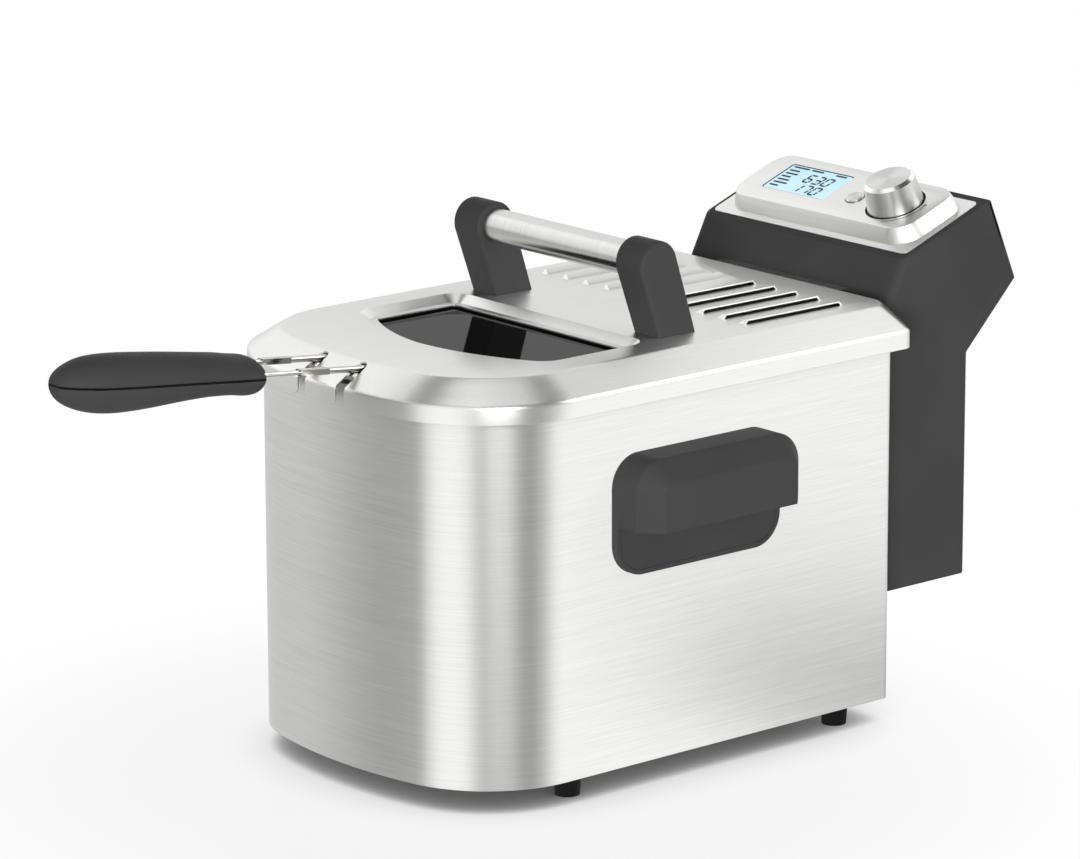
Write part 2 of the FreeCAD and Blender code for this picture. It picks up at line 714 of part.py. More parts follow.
def rail_screws():
    screws = [screw(seat, Vector(0, 1, 0), RAIL_SCREW_LENGTH) for seat in rail_screw_seats()]
    return Part.makeCompound(screws)


# Oil bowl

def bowl_form(outset, floor, top, floor_radius, rear_radius):
    block = upright(body_outline(outset, floor, rear_radius), top - floor)
    return block.makeFillet(floor_radius, level_edges(block, floor))


def oil_bowl():
    rear_radius = BOWL_REAR_RADIUS + BOWL_SHEET
    outside = bowl_form(-BOWL_INSET, BOWL_FLOOR, BEAD_LEVEL, BOWL_FLOOR_RADIUS, rear_radius)
    inner_floor = BOWL_FLOOR + BOWL_SHEET
    inner_bend = BOWL_FLOOR_RADIUS - BOWL_SHEET
    inside = bowl_form(-BOWL_INSIDE, inner_floor, BEAD_TOP, inner_bend, BOWL_REAR_RADIUS)
    bead_radius = BOWL_REAR_RADIUS + BOWL_INSIDE + BEAD_OUTSET
    bead = wire_along(body_outline(BEAD_OUTSET, BEAD_LEVEL, bead_radius), BOWL_BEAD_RADIUS)
    return outside.cut(inside).fuse(bead).removeSplitter()


# Control pod

def pod_corners():
    """Side view of the pod, (y, z) as flat points, counter-clockwise from the foot of the stem."""
    tilt = math.radians(PANEL_TILT)
    back = math.radians(POD_BACK_LEAN)
    front_top = Vector(PANEL_Y, PANEL_Z, 0)
    rear_top = front_top + Vector(math.cos(tilt), math.sin(tilt), 0) * PANEL_LENGTH
    apex = rear_top + Vector(math.sin(back), -math.cos(back), 0) * POD_BACK_LENGTH
    waist_drop = (apex.x - POD_REAR_Y) * math.tan(math.radians(POD_WAIST_ANGLE))
    shoulder_z = WALL_TOP - POD_SHOULDER_DROP
    chin_z = shoulder_z + POD_SHOULDER_CHAMFER
    chin_y = PANEL_Y - (PANEL_Z - chin_z) * math.tan(math.radians(POD_FRONT_LEAN))
    return [
        Vector(POD_FRONT_Y, POD_BOTTOM, 0), Vector(POD_REAR_Y, POD_BOTTOM, 0),
        Vector(POD_REAR_Y, apex.y - waist_drop, 0), apex, rear_top, front_top,
        Vector(chin_y, chin_z, 0), Vector(POD_FRONT_Y, shoulder_z, 0),
    ]


def pod_prism(corners, half_width):
    across = Placement(Vector(-half_width, 0, 0), FACE_SIDE)
    return placed(upright(polygon(corners), 2 * half_width), across)


def pod_outside():
    """The outer form: soft cheeks either side of the head's front, and small edges away from the chin."""
    corners = pod_corners()
    form = pod_prism(corners, POD_WIDTH / 2)
    chin = corners[6]
    cheek_middle = (corners[5] + chin) / 2

    def in_profile(point):
        return Vector(point.y, point.z, 0)

    cheeks = [edge for edge in form.Edges
              if (in_profile(edge.CenterOfMass) - cheek_middle).Length < RUNNING_GAP]
    form = form.makeFillet(POD_CHEEK_RADIUS, cheeks)
    clear = POD_CHEEK_RADIUS + POD_EDGE
    small = [edge for edge in form.Edges
             if all((in_profile(end.Point) - chin).Length > clear for end in edge.Vertexes)]
    return form.makeFillet(POD_EDGE, small)


def seam_insets(rear):
    return [0, rear, rear, rear, 0, 0, 0, 0]


def cover_screw_seats():
    low = POD_BOTTOM + COVER_SCREW_LOW
    return [Vector(side * COVER_SCREW_SPACING / 2, POD_REAR_Y, level)
            for side in (-1, 1) for level in (low, low + COVER_SCREW_RISE)]


def power_boss_places():
    across = POWER_BOARD_WIDTH / 2 - POWER_BOSS_INSET
    low = POWER_BOARD_BOTTOM + POWER_BOSS_INSET
    high = POWER_BOARD_BOTTOM + POWER_BOARD_HEIGHT - POWER_BOSS_INSET
    inside = POD_FRONT_Y + POD_WALL
    return [Vector(side * across, inside, level) for side in (-1, 1) for level in (low, high)]


def panel_cut(depth_low, depth_high):
    """The opening in the panel that joins the console to the inside of the pod."""
    return placed(box(
        Vector(-PANEL_CUT_WIDTH / 2, PANEL_CUT_FRONT, depth_low),
        Vector(PANEL_CUT_WIDTH / 2, PANEL_CUT_FRONT + PANEL_CUT_LENGTH, depth_high)), PANEL_PLACE)


def face_plate_outline(depth):
    across = POD_WIDTH / 2 - PLATE_MARGIN_SIDE
    return rounded_rectangle(-across, across, PLATE_FRONT, PLATE_FRONT + PLATE_LENGTH, PLATE_RADIUS, depth)


def bridge_block():
    """The flat tongue that carries the element head over the rear wall into the pod."""
    front = HEAD_REAR_Y - HEAD_DROP_THICKNESS
    return box(
        Vector(-HEAD_WIDTH / 2, front, BRIDGE_BOTTOM),
        Vector(HEAD_WIDTH / 2, PANEL_Y + BRIDGE_REACH_IN, BRIDGE_TOP))


def pod_front_shell():
    corners = pod_corners()
    half_inside = POD_WIDTH / 2 - POD_WALL
    within_seam = pod_prism(inset_polygon(corners, seam_insets(POD_SEAM)), POD_WIDTH)
    hollow_insets = [POD_WALL, 0, 0, 0, POD_WALL, POD_WALL, POD_WALL, POD_WALL]
    hollow = pod_prism(inset_polygon(corners, hollow_insets), half_inside)
    shell = pod_outside().common(within_seam).cut(hollow)
    seam_y = POD_REAR_Y - POD_SEAM
    inside = POD_FRONT_Y + POD_WALL
    blocks = []
    slots = []
    for side in (-1, 1):
        middle = side * RAIL_SPACING / 2
        half_block = RAIL_HEAD / 2 + BODY_GAP + RAIL_BLOCK_WALL
        block_depth = RAIL_WEB_DEPTH + RAIL_HEAD_DEPTH + BODY_GAP + RAIL_BLOCK_WALL
        blocks.append(box(
            Vector(middle - half_block, POD_FRONT_Y, POD_BOTTOM),
            Vector(middle + half_block, REAR_Y + block_depth, RAIL_TOP + BODY_GAP + RAIL_BLOCK_WALL)))
        outline = polygon([point + Vector(0, 0, POD_BOTTOM) for point in rail_section(side, BODY_GAP)])
        slots.append(upright(outline, RAIL_TOP + BODY_GAP - POD_BOTTOM))
    bosses = []
    pilots = []
    for seat in cover_screw_seats():
        foot = Vector(seat.x, inside, seat.z)
        bosses.append(cylinder(foot, Vector(0, 1, 0), BOSS_RADIUS, seam_y - inside))
        pilots.append(screw_hole(seat, Vector(0, -1, 0), POD_SEAM + COVER_SCREW_LENGTH))
    board_y = REAR_Y + POWER_BOARD_SETBACK
    for place in power_boss_places():
        bosses.append(cylinder(place, Vector(0, 1, 0), BOSS_RADIUS, board_y - place.y))
    recess = placed(upright(face_plate_outline(-PLATE_SINK), PLATE_SINK + PLATE_THICKNESS), PANEL_PLACE)
    cuts = slots + pilots + [recess, panel_cut(-2 * POD_WALL, PLATE_THICKNESS), bridge_block()]
    return fuse(shell, *(blocks + bosses)).cut(cuts)


def pod_rear_cover():
    """A shell that wraps the rear of the head, the waist and the stem as far as the seam line."""
    within_seam = pod_prism(inset_polygon(pod_corners(), seam_insets(POD_SEAM)), POD_WIDTH)
    cover = pod_outside().cut(within_seam)
    holes = [screw_hole(seat, Vector(0, -1, 0), POD_SEAM) for seat in cover_screw_seats()]
    inlet = cylinder(inlet_place(), Vector(0, -1, 0), INLET_RADIUS, POD_SEAM)
    return cover.cut(holes + [inlet])


def pod_cover_screws():
    length = POD_SEAM + COVER_SCREW_LENGTH
    return Part.makeCompound([screw(seat, Vector(0, -1, 0), length) for seat in cover_screw_seats()])


def inlet_place():
    return Vector(INLET_X, POD_REAR_Y, POD_BOTTOM + INLET_BOTTOM_GAP)


def cord_inlet():
    """A rubber bush in the rear cover, with a flange each side of it and an empty bore."""
    inner = POD_SEAM + INLET_FLANGE_THICKNESS
    wide = INLET_RADIUS + INLET_FLANGE
    profile = [
        (INLET_BORE_RADIUS, -INLET_FLANGE_THICKNESS), (wide, -INLET_FLANGE_THICKNESS),
        (wide, 0), (INLET_RADIUS, 0), (INLET_RADIUS, POD_SEAM),
        (wide, POD_SEAM), (wide, inner), (INLET_BORE_RADIUS, inner),
    ]
    return turned(profile, inlet_place(), Vector(0, -1, 0))


def face_plate():
    plate = placed(upright(face_plate_outline(-PLATE_SINK), PLATE_THICKNESS), PANEL_PLACE)
    return plate.cut(panel_cut(-2 * POD_WALL, 2 * PLATE_THICKNESS))


def console_outline(inset, depth):
    return rounded_rectangle(
        inset - CONSOLE_WIDTH / 2, CONSOLE_WIDTH / 2 - inset, CONSOLE_FRONT + inset,
        CONSOLE_FRONT + CONSOLE_LENGTH - inset, CONSOLE_RADIUS - inset, depth)


def panel_round(x, s, low, radius, length):
    """A cylinder square to the panel, before the panel is tilted."""
    return cylinder(Vector(x, s, low), Vector(0, 0, 1), radius, length)


def panel_square(x, s, size, low, high):
    half = size / 2
    return box(Vector(x - half, s - half, low), Vector(x + half, s + half, high))


def display_box(margin, low, high):
    half_width = DISPLAY_WIDTH / 2 + margin
    half_length = DISPLAY_LENGTH / 2 + margin
    return box(
        Vector(DISPLAY_X - half_width, DISPLAY_S - half_length, low),
        Vector(DISPLAY_X + half_width, DISPLAY_S + half_length, high))


def console():
    """The raised control console: drafted sides, a round top edge and openings for what it holds."""
    form = loft(console_outline(0, PLATE_TOP), console_outline(CONSOLE_DRAFT, CONSOLE_TOP))
    form = form.makeFillet(CONSOLE_SHOULDER, level_edges(form, CONSOLE_TOP))
    wall = CONSOLE_WALL + CONSOLE_DRAFT + CONSOLE_SHOULDER
    hollow = upright(console_outline(wall, PLATE_TOP), CONSOLE_UNDER - PLATE_TOP)
    knob_hole = panel_round(KNOB_X, KNOB_S, PLATE_TOP, ROTOR_RADIUS + 2 * BODY_GAP, CONSOLE_HEIGHT)
    button_hole = panel_round(BUTTON_X, BUTTON_S, PLATE_TOP, BUTTON_RADIUS + BODY_GAP, CONSOLE_HEIGHT)
    window = display_box(0, PLATE_TOP, CONSOLE_TOP)
    return placed(form.cut([hollow, knob_hole, button_hole, window]).removeSplitter(), PANEL_PLACE)


def display_lens():
    """A clear step-edged window: its lip sits under the console, its face fills the opening."""
    lip = display_box(DISPLAY_LAP, CONSOLE_UNDER - LENS_PLATE, CONSOLE_UNDER)
    face = display_box(0, CONSOLE_UNDER, CONSOLE_TOP - LENS_RECESS)
    return placed(fuse(lip, face), PANEL_PLACE)


def display_module():
    return placed(display_box(DISPLAY_LAP, BOARD_TOP, CONSOLE_UNDER - LENS_PLATE), PANEL_PLACE)


def control_board():
    half = PANEL_CUT_WIDTH / 2 + BOARD_LAP
    board = box(
        Vector(-half, PANEL_CUT_FRONT - BOARD_LAP, BOARD_TOP - BOARD_THICKNESS),
        Vector(half, PANEL_CUT_FRONT + PANEL_CUT_LENGTH + BOARD_LAP, BOARD_TOP))
    return placed(board, PANEL_PLACE)


def encoder_body():
    case = panel_square(KNOB_X, KNOB_S, ENCODER_SIZE, BOARD_TOP, BOARD_TOP + ENCODER_HEIGHT)
    bore_radius = ROTOR_RADIUS + RUNNING_GAP
    bore = panel_round(KNOB_X, KNOB_S, BOARD_TOP + ENCODER_FLOOR, bore_radius, ENCODER_HEIGHT)
    return placed(case.cut(bore), PANEL_PLACE)


def encoder_rotor():
    """A sleeve that turns in the encoder; the shaft slides through it when the knob is pressed."""
    bottom = BOARD_TOP + ENCODER_FLOOR + RUNNING_GAP
    length = CONSOLE_TOP - bottom
    sleeve = panel_round(KNOB_X, KNOB_S, bottom, ROTOR_RADIUS, length)
    bore = panel_round(KNOB_X, KNOB_S, bottom, SHAFT_RADIUS + RUNNING_GAP, length)
    return placed(sleeve.cut(bore), PANEL_PLACE)


def knob_shaft():
    length = KNOB_BOTTOM + SHAFT_BITE - SHAFT_BOTTOM
    return placed(panel_round(KNOB_X, KNOB_S, SHAFT_BOTTOM, SHAFT_RADIUS, length), PANEL_PLACE)


def knob():
    """A turned knob, wider at its foot, hollow underneath round a hub that grips the shaft."""
    crown = KNOB_HEIGHT - KNOB_CHAMFER
    profile = [
        (SHAFT_RADIUS, 0), (KNOB_HUB_RADIUS, 0), (KNOB_HUB_RADIUS, KNOB_HOLLOW_DEPTH),
        (KNOB_HOLLOW_RADIUS, KNOB_HOLLOW_DEPTH), (KNOB_HOLLOW_RADIUS, 0), (KNOB_BASE_RADIUS, 0),
        (KNOB_BASE_RADIUS, KNOB_SKIRT), (KNOB_TOP_RADIUS, crown),
        (KNOB_TOP_RADIUS - KNOB_CHAMFER, KNOB_HEIGHT), (0, KNOB_HEIGHT),
        (0, SHAFT_BITE), (SHAFT_RADIUS, SHAFT_BITE),
    ]
    return placed(turned(profile, Vector(KNOB_X, KNOB_S, KNOB_BOTTOM), Vector(0, 0, 1)), PANEL_PLACE)


def start_button():
    top = CONSOLE_TOP + BUTTON_PROUD - BUTTON_BOTTOM
    wide = BUTTON_RADIUS + BUTTON_FLANGE
    profile = [
        (0, 0), (wide, 0), (wide, BUTTON_FLANGE_HEIGHT), (BUTTON_RADIUS, BUTTON_FLANGE_HEIGHT),
        (BUTTON_RADIUS, top - BUTTON_CHAMFER), (BUTTON_RADIUS - BUTTON_CHAMFER, top), (0, top),
    ]
    return placed(turned(profile, Vector(BUTTON_X, BUTTON_S, BUTTON_BOTTOM), Vector(0, 0, 1)), PANEL_PLACE)


def start_switch():
    case = panel_square(BUTTON_X, BUTTON_S, SWITCH_SIZE, BOARD_TOP, BOARD_TOP + SWITCH_BODY)
    stem_length = BUTTON_BOTTOM - BUTTON_TRAVEL - RUNNING_GAP - BOARD_TOP
    stem = panel_round(BUTTON_X, BUTTON_S, BOARD_TOP, SWITCH_STEM_RADIUS, stem_length)
    return placed(fuse(case, stem), PANEL_PLACE)


def power_board():
    return box(
        Vector(-POWER_BOARD_WIDTH / 2, POWER_BOARD_Y, POWER_BOARD_BOTTOM),
        Vector(POWER_BOARD_WIDTH / 2, POWER_BOARD_BACK, POWER_BOARD_BOTTOM + POWER_BOARD_HEIGHT))


def relay():
    low = Vector(POWER_BOSS_INSET, POWER_BOARD_BACK, POWER_BOARD_BOTTOM + POWER_BOSS_INSET)
    return box(low, low + RELAY_SIZE)


def terminal_block():
    """A row of screw terminals along the lower edge of the power board."""
    bottom = POWER_BOARD_BOTTOM + POWER_BOSS_INSET
    low = Vector(-POWER_BOSS_INSET - TERMINAL_SIZE.x, POWER_BOARD_BACK, bottom)
    block = box(low, low + TERMINAL_SIZE)
    wells = []
    for step in range(3):
        centre = low + Vector(TERMINAL_SIZE.x * (step + 0.5) / 3, TERMINAL_SIZE.y / 2, TERMINAL_SIZE.z / 2)
        wells.append(cylinder(centre, Vector(0, 1, 0), SCREW_HEAD_RADIUS, TERMINAL_SIZE.y))
    return block.cut(wells)


def interlock_switch():
    low = Vector(-INTERLOCK_SIZE.x / 2, POD_FRONT_Y + POD_WALL, INTERLOCK_BOTTOM)
    return box(low, low + INTERLOCK_SIZE)


def thermal_cutout():
    centre = Vector(CUTOUT_X, PANEL_Y + BRIDGE_REACH_IN - CUTOUT_RADIUS, BRIDGE_TOP)
    cup = cylinder(centre, Vector(0, 0, 1), CUTOUT_RADIUS, CUTOUT_HEIGHT)
    return fuse(cup, cylinder(centre, Vector(0, 0, 1), CUTOUT_RADIUS / 2, CUTOUT_HEIGHT + SCREW_HEAD_HEIGHT))


def element_path():
    """Two legs come down the rear of the bowl and join in one flat loop over its floor."""
    inner_bend = (ELEMENT_MIDDLE_X - ELEMENT_LEG_X) / 2
    rear_bend = (ELEMENT_OUTER_X - ELEMENT_MIDDLE_X) / 2

    def half(side):
        leg_x = side * ELEMENT_LEG_X
        middle_x = side * ELEMENT_MIDDLE_X
        outer_x = side * ELEMENT_OUTER_X
        return [
            (Vector(leg_x, ELEMENT_LEG_Y, HEAD_BOX_BOTTOM + ELEMENT_BITE), 0),
            (Vector(leg_x, ELEMENT_LEG_Y, ELEMENT_LEVEL), ELEMENT_BEND),
            (Vector(leg_x, ELEMENT_INNER_TURN, ELEMENT_LEVEL), inner_bend),
            (Vector(middle_x, ELEMENT_INNER_TURN, ELEMENT_LEVEL), inner_bend),
            (Vector(middle_x, ELEMENT_REAR_TURN, ELEMENT_LEVEL), rear_bend),
            (Vector(outer_x, ELEMENT_REAR_TURN, ELEMENT_LEVEL), rear_bend),
            (Vector(outer_x, ELEMENT_FRONT_TURN, ELEMENT_LEVEL), ELEMENT_OUTER_X),
        ]

    return bent_path(half(-1) + half(1)[::-1])


def heating_element():
    return wire_along(element_path(), ELEMENT_RADIUS)


def temperature_probe():
    path = bent_path([
        (Vector(0, ELEMENT_LEG_Y, HEAD_BOX_BOTTOM + ELEMENT_BITE), 0),
        (Vector(0, ELEMENT_LEG_Y, PROBE_LEVEL), ELEMENT_BEND),
        (Vector(0, PROBE_TIP, PROBE_LEVEL), 0),
    ])
    return wire_along(path, PROBE_RADIUS)


def element_head():
    """Stainless head: tongue over the rim, a flat drop behind the filter, and a box that takes the legs."""
    half = HEAD_WIDTH / 2
    drop_front = HEAD_REAR_Y - HEAD_DROP_THICKNESS
    case_front = HEAD_REAR_Y - HEAD_BOX_DEPTH
    drop = box(Vector(-half, drop_front, HEAD_BOX_BOTTOM), Vector(half, HEAD_REAR_Y, BRIDGE_TOP))
    case = box(Vector(-half, case_front, HEAD_BOX_BOTTOM), Vector(half, HEAD_REAR_Y, HEAD_BOX_TOP))
    up = Vector(0, 0, 1)
    sockets = []
    for across in (-ELEMENT_LEG_X, 0, ELEMENT_LEG_X):
        radius = ELEMENT_RADIUS if across else PROBE_RADIUS
        sockets.append(cylinder(Vector(across, ELEMENT_LEG_Y, HEAD_BOX_BOTTOM), up, radius, ELEMENT_BITE))
    return fuse(bridge_block(), drop, case).cut(sockets)


# Wire basket

def mesh_panel(width, height, corner_radius, place):
    """A flat mesh panel drawn in x and y from its lower left corner, with square gaps between its wires."""
    panel = upright(rounded_rectangle(0, width, 0, height, corner_radius, 0), MESH_SHEET)
    columns = max(1, round((width - MESH_WIRE) / MESH_PITCH))
    rows = max(1, round((height - MESH_WIRE) / MESH_PITCH))
    step_x = (width - MESH_WIRE) / columns
    step_y = (height - MESH_WIRE) / rows
    gaps = []
    for column in range(columns):
        for row in range(rows):
            corner = Vector(MESH_WIRE + column * step_x, MESH_WIRE + row * step_y, 0)
            gaps.append(Part.makeBox(step_x - MESH_WIRE, step_y - MESH_WIRE, MESH_SHEET, corner))
    return placed(panel.cut(gaps), place)


def basket_floor_mesh():
    place = Placement(Vector(-BASKET_WIDTH / 2, BASKET_FRONT_Y, BASKET_FLOOR), Rotation())
    return mesh_panel(BASKET_WIDTH, BASKET_LENGTH, BASKET_CORNER_RADIUS, place)


def basket_end_mesh(inner_y):
    """The front or the rear mesh, whose wires lie just ahead of inner_y."""
    left = BASKET_CORNER_RADIUS - BASKET_WIDTH / 2
    place = Placement(Vector(left, inner_y, BASKET_FLOOR + MESH_SHEET), FACE_FRONT)
    return mesh_panel(-2 * left, BASKET_HEIGHT - MESH_SHEET, MESH_SHEET, place)


def basket_side_mesh(side):
    left = -BASKET_WIDTH / 2
    across = left if side < 0 else -left - MESH_SHEET
    start = Vector(across, BASKET_FRONT_Y + BASKET_CORNER_RADIUS, BASKET_FLOOR + MESH_SHEET)
    length = BASKET_LENGTH - 2 * BASKET_CORNER_RADIUS
    return mesh_panel(length, BASKET_HEIGHT - MESH_SHEET, MESH_SHEET, Placement(start, FACE_SIDE))


def basket_ring(level, radius):
    half = BASKET_WIDTH / 2 + radius
    path = rounded_rectangle(
        -half, half, BASKET_FRONT_Y - radius, BASKET_REAR_Y + radius, BASKET_CORNER_RADIUS, level)
    return wire_along(path, radius)


def basket_rim_wire():
    return basket_ring(BASKET_RIM_LEVEL - RIM_WIRE_RADIUS, RIM_WIRE_RADIUS)


def basket_base_wire():
    return basket_ring(BASKET_FLOOR + BASE_WIRE_RADIUS, BASE_WIRE_RADIUS)


def basket_corner_wires():
    """Four upright wires that stand on the floor inside the corners of the two rings."""
    ring_bend = BASKET_CORNER_RADIUS - min(RIM_WIRE_RADIUS, BASE_WIRE_RADIUS)
    reach = ring_bend - BASE_WIRE_RADIUS - RUNNING_GAP
    from_side = ring_bend - reach * math.sqrt(0.5)
    across = BASKET_WIDTH / 2 - from_side
    bottom = BASKET_FLOOR + MESH_SHEET
    wires = []
    for side in (-1, 1):
        for row in (BASKET_FRONT_Y + from_side, BASKET_REAR_Y - from_side):
            foot = Vector(side * across, row, bottom)
            wires.append(cylinder(foot, Vector(0, 0, 1), BASE_WIRE_RADIUS, BASKET_RIM_LEVEL - bottom))
    return Part.makeCompound(wires)


def slope_point(along, above=0.0):
    """A point on the line of the arms: along it from the lid's top edge, and square above it."""
    return Vector(
        0, LID_TOP_FRONT_Y - along * SLOPE_COS + above * SLOPE_SIN,
        ARM_EXIT_Z + along * SLOPE_SIN + above * SLOPE_COS)


SLOPE_PLACE = Placement(slope_point(0), Rotation(Vector(1, 0, 0), -ARM_SLOPE))


def basket_arms():
    """Two thick wires that climb the basket's front, lean out over the rim and end in flattened crimps."""
    arms = []
    for side in (-1, 1):
        across = Vector(side * ARM_X, 0, 0)
        start = slope_point(0)
        rise = (ARM_Y - start.y) * SLOPE_SIN / SLOPE_COS
        path = bent_path([
            (across + Vector(0, ARM_Y, ARM_FOOT), 0),
            (across + Vector(0, ARM_Y, start.z - rise), ARM_BEND),
            (across + slope_point(CRIMP_START + CRIMP_LENGTH / 2), 0),
        ])
        arm = wire_along(path, ARM_RADIUS)
        crimp = box(
            Vector(-CRIMP_WIDTH / 2, -CRIMP_START - CRIMP_LENGTH, -CRIMP_THICKNESS / 2),
            Vector(CRIMP_WIDTH / 2, -CRIMP_START, CRIMP_THICKNESS / 2))
        crimp = placed(crimp, Placement(across, Rotation()).multiply(SLOPE_PLACE))
        arms.append(fuse(arm, crimp).cut(handle_rod(side)))
    return Part.makeCompound(arms)


def handle_rod(side):
    start = slope_point(CRIMP_START + CRIMP_LENGTH - ROD_BITE)
    end = slope_point(HANDLE_START + ROD_SOCKET)
    return cylinder(start + Vector(side * ARM_X, 0, 0), end - start, ROD_RADIUS, (end - start).Length)


def handle_rods():
    return Part.makeCompound([handle_rod(side) for side in (-1, 1)])


def handle_section(along, half_width, height):
    """Half an oval on the seam, with its lower edges cut back to leave half of the seam's groove."""
    centre = Vector(0, -HANDLE_START - along, -HANDLE_SEAM_DROP)
    oval = Part.Ellipse(centre + Vector(half_width, 0, 0), centre + Vector(0, 0, height), centre)
    lift = math.asin(HANDLE_SEAM_GROOVE / abs(height))
    bow = Part.ArcOfEllipse(oval, lift, math.pi - lift).toShape()
    first = bow.valueAt(bow.FirstParameter)
    last = bow.valueAt(bow.LastParameter)
    flat = Vector(half_width * math.cos(lift) - HANDLE_SEAM_GROOVE, 0, 0)
    edges = [bow, line(last, centre - flat), line(centre - flat, centre + flat), line(centre + flat, first)]
    return Part.Wire(edges)


def handle_half(side):
    """Upper half for side 1, lower half for side -1, drawn along the slope of the arms."""
    belly = [(HANDLE_LENGTH - from_end, *sizes) for from_end, *sizes in HANDLE_BELLY_SECTIONS]
    sections = []
    for along, half_width, rise, depth in list(HANDLE_NECK_SECTIONS) + belly:
        sections.append(handle_section(along, half_width, rise if side > 0 else -depth))
    half = placed(Part.makeLoft(sections, True, False), SLOPE_PLACE)
    cuts = [handle_rod(step) for step in (-1, 1)]
    return half.cut(cuts + [handle_screw(), handle_screw_well()])


def handle_screw_seat():
    """Under the screw's head, sunk in the lower half."""
    return Vector(0, -HANDLE_START - HANDLE_SCREW_FROM_END, -HANDLE_SEAM_DROP - 2 * SCREW_HEAD_HEIGHT)


def handle_screw():
    """The screw that closes the grip from below."""
    return placed(screw(handle_screw_seat(), Vector(0, 0, 1), 5 * SCREW_HEAD_HEIGHT), SLOPE_PLACE)


def handle_screw_well():
    """The round well the screw goes in by, from the grip's underside up to the head's seat."""
    depth = max(section[-1] for section in HANDLE_BELLY_SECTIONS)
    well = cylinder(handle_screw_seat(), Vector(0, 0, -1), SCREW_HEAD_RADIUS + RUNNING_GAP, depth)
    return placed(well, SLOPE_PLACE)


# Lid

def lid_form(shrink, bottom):
    """The lid's solid form, pulled in square to its faces by shrink, with round folds along its edges."""
    slope = math.atan2(LID_SKIRT_RISE, LID_SKIRT_RUN)
    rim_turn = math.pi / 2 - slope
    rim_out = LID_OVERHANG - shrink
    top_out = LID_TOP_OUTSET - shrink * math.tan(slope / 2)
    rim_radius = LID_RIM_FOLD - shrink
    top_radius = LID_TOP_FOLD - shrink
    fold_start_z = LID_RIM_TOP - (shrink + rim_radius) * math.tan(rim_turn / 2)
    fold_end_out = top_out - top_radius * math.tan(slope / 2)

    def section(out, z):
        share = (rim_out - out) / (rim_out - top_out)
        rear_radius = LID_REAR_RADIUS + share * (LID_TOP_REAR_RADIUS - LID_REAR_RADIUS) - shrink
        return body_outline(out, z, rear_radius, LID_REAR_OVERHANG - share * LID_TOP_REAR_INSET - shrink)

    def rim_section(share):
        turn = rim_turn * share
        rise = rim_radius * math.sin(turn)
        return section(rim_out - rim_radius * (1 - math.cos(turn)), fold_start_z + rise)

    def top_section(share):
        turn = slope * (1 - share)
        return section(
            fold_end_out + top_radius * math.sin(turn), LID_TOP - shrink - top_radius * (1 - math.cos(turn)))

    rim = upright(section(rim_out, bottom), fold_start_z - bottom)
    rim_fold = Part.makeLoft([rim_section(share) for share in FOLD_SHARES], True, False)
    skirt = loft(rim_section(1), top_section(0))
    top_fold = Part.makeLoft([top_section(share) for share in FOLD_SHARES], True, False)
    return fuse(rim, rim_fold, skirt, top_fold)


def arm_notch(side):
    """A slot for one basket arm, open at the rim, rounded at its head and flared at its foot."""
    middle = side * ARM_X
    half = LID_NOTCH_WIDTH / 2
    front = FRONT_Y - 2 * LID_OVERHANG
    head_y = LID_TOP_FRONT_Y - half
    slot = box(Vector(middle - half, front, 0), Vector(middle + half, head_y, LID_TOP))
    head = cylinder(Vector(middle, head_y, 0), Vector(0, 0, 1), half, LID_TOP)
    flare = half + LID_NOTCH_CORNER
    flare_z = LID_RIM_BOTTOM + LID_NOTCH_CORNER
    foot = box(Vector(middle - flare, front, 0), Vector(middle + flare, FRONT_Y, flare_z))
    for step in (-1, 1):
        corner = Vector(middle + step * flare, front, flare_z)
        foot = foot.cut(cylinder(corner, Vector(0, 1, 0), LID_NOTCH_CORNER, FRONT_Y - front))
    return slot.fuse([head, foot])


def louvre(side, index):
    """One pressed hood that opens away from the middle, and the throat inside it."""
    middle = LOUVRE_FIRST + index * LOUVRE_PITCH
    mouth = middle + LOUVRE_WIDTH / 2
    root = middle - LOUVRE_WIDTH / 2
    front = FRONT_Y + LOUVRE_SETBACK
    rear = front + LOUVRE_LENGTH
    crest = LID_TOP + LOUVRE_HEIGHT
    clear = mouth + RUNNING_GAP

    def rectangle(x0, x1, end, z):
        return polygon([
            Vector(x0, front + end, z), Vector(x1, front + end, z),
            Vector(x1, rear - end, z), Vector(x0, rear - end, z)])

    hood = loft(
        rectangle(root, mouth, 0, LID_UNDER),
        rectangle(mouth - LOUVRE_LIP, mouth, LOUVRE_END_RUN, crest))
    throat = loft(
        rectangle(root + 2 * LOUVRE_SKIN, clear, LOUVRE_SKIN, LID_UNDER - LID_SHEET),
        rectangle(mouth - LOUVRE_LIP, clear, LOUVRE_END_RUN + LOUVRE_SKIN, crest - LOUVRE_SKIN))
    if side > 0:
        return hood, throat
    return mirrored(hood), mirrored(throat)


def post_screw_seats(side):
    middle = side * (POST_INNER_X + POST_WIDTH / 2)
    row = POST_FRONT_Y + POST_DEPTH / 2
    return [Vector(middle, row + step * POST_SCREW_SPACING / 2, LID_UNDER) for step in (-1, 1)]


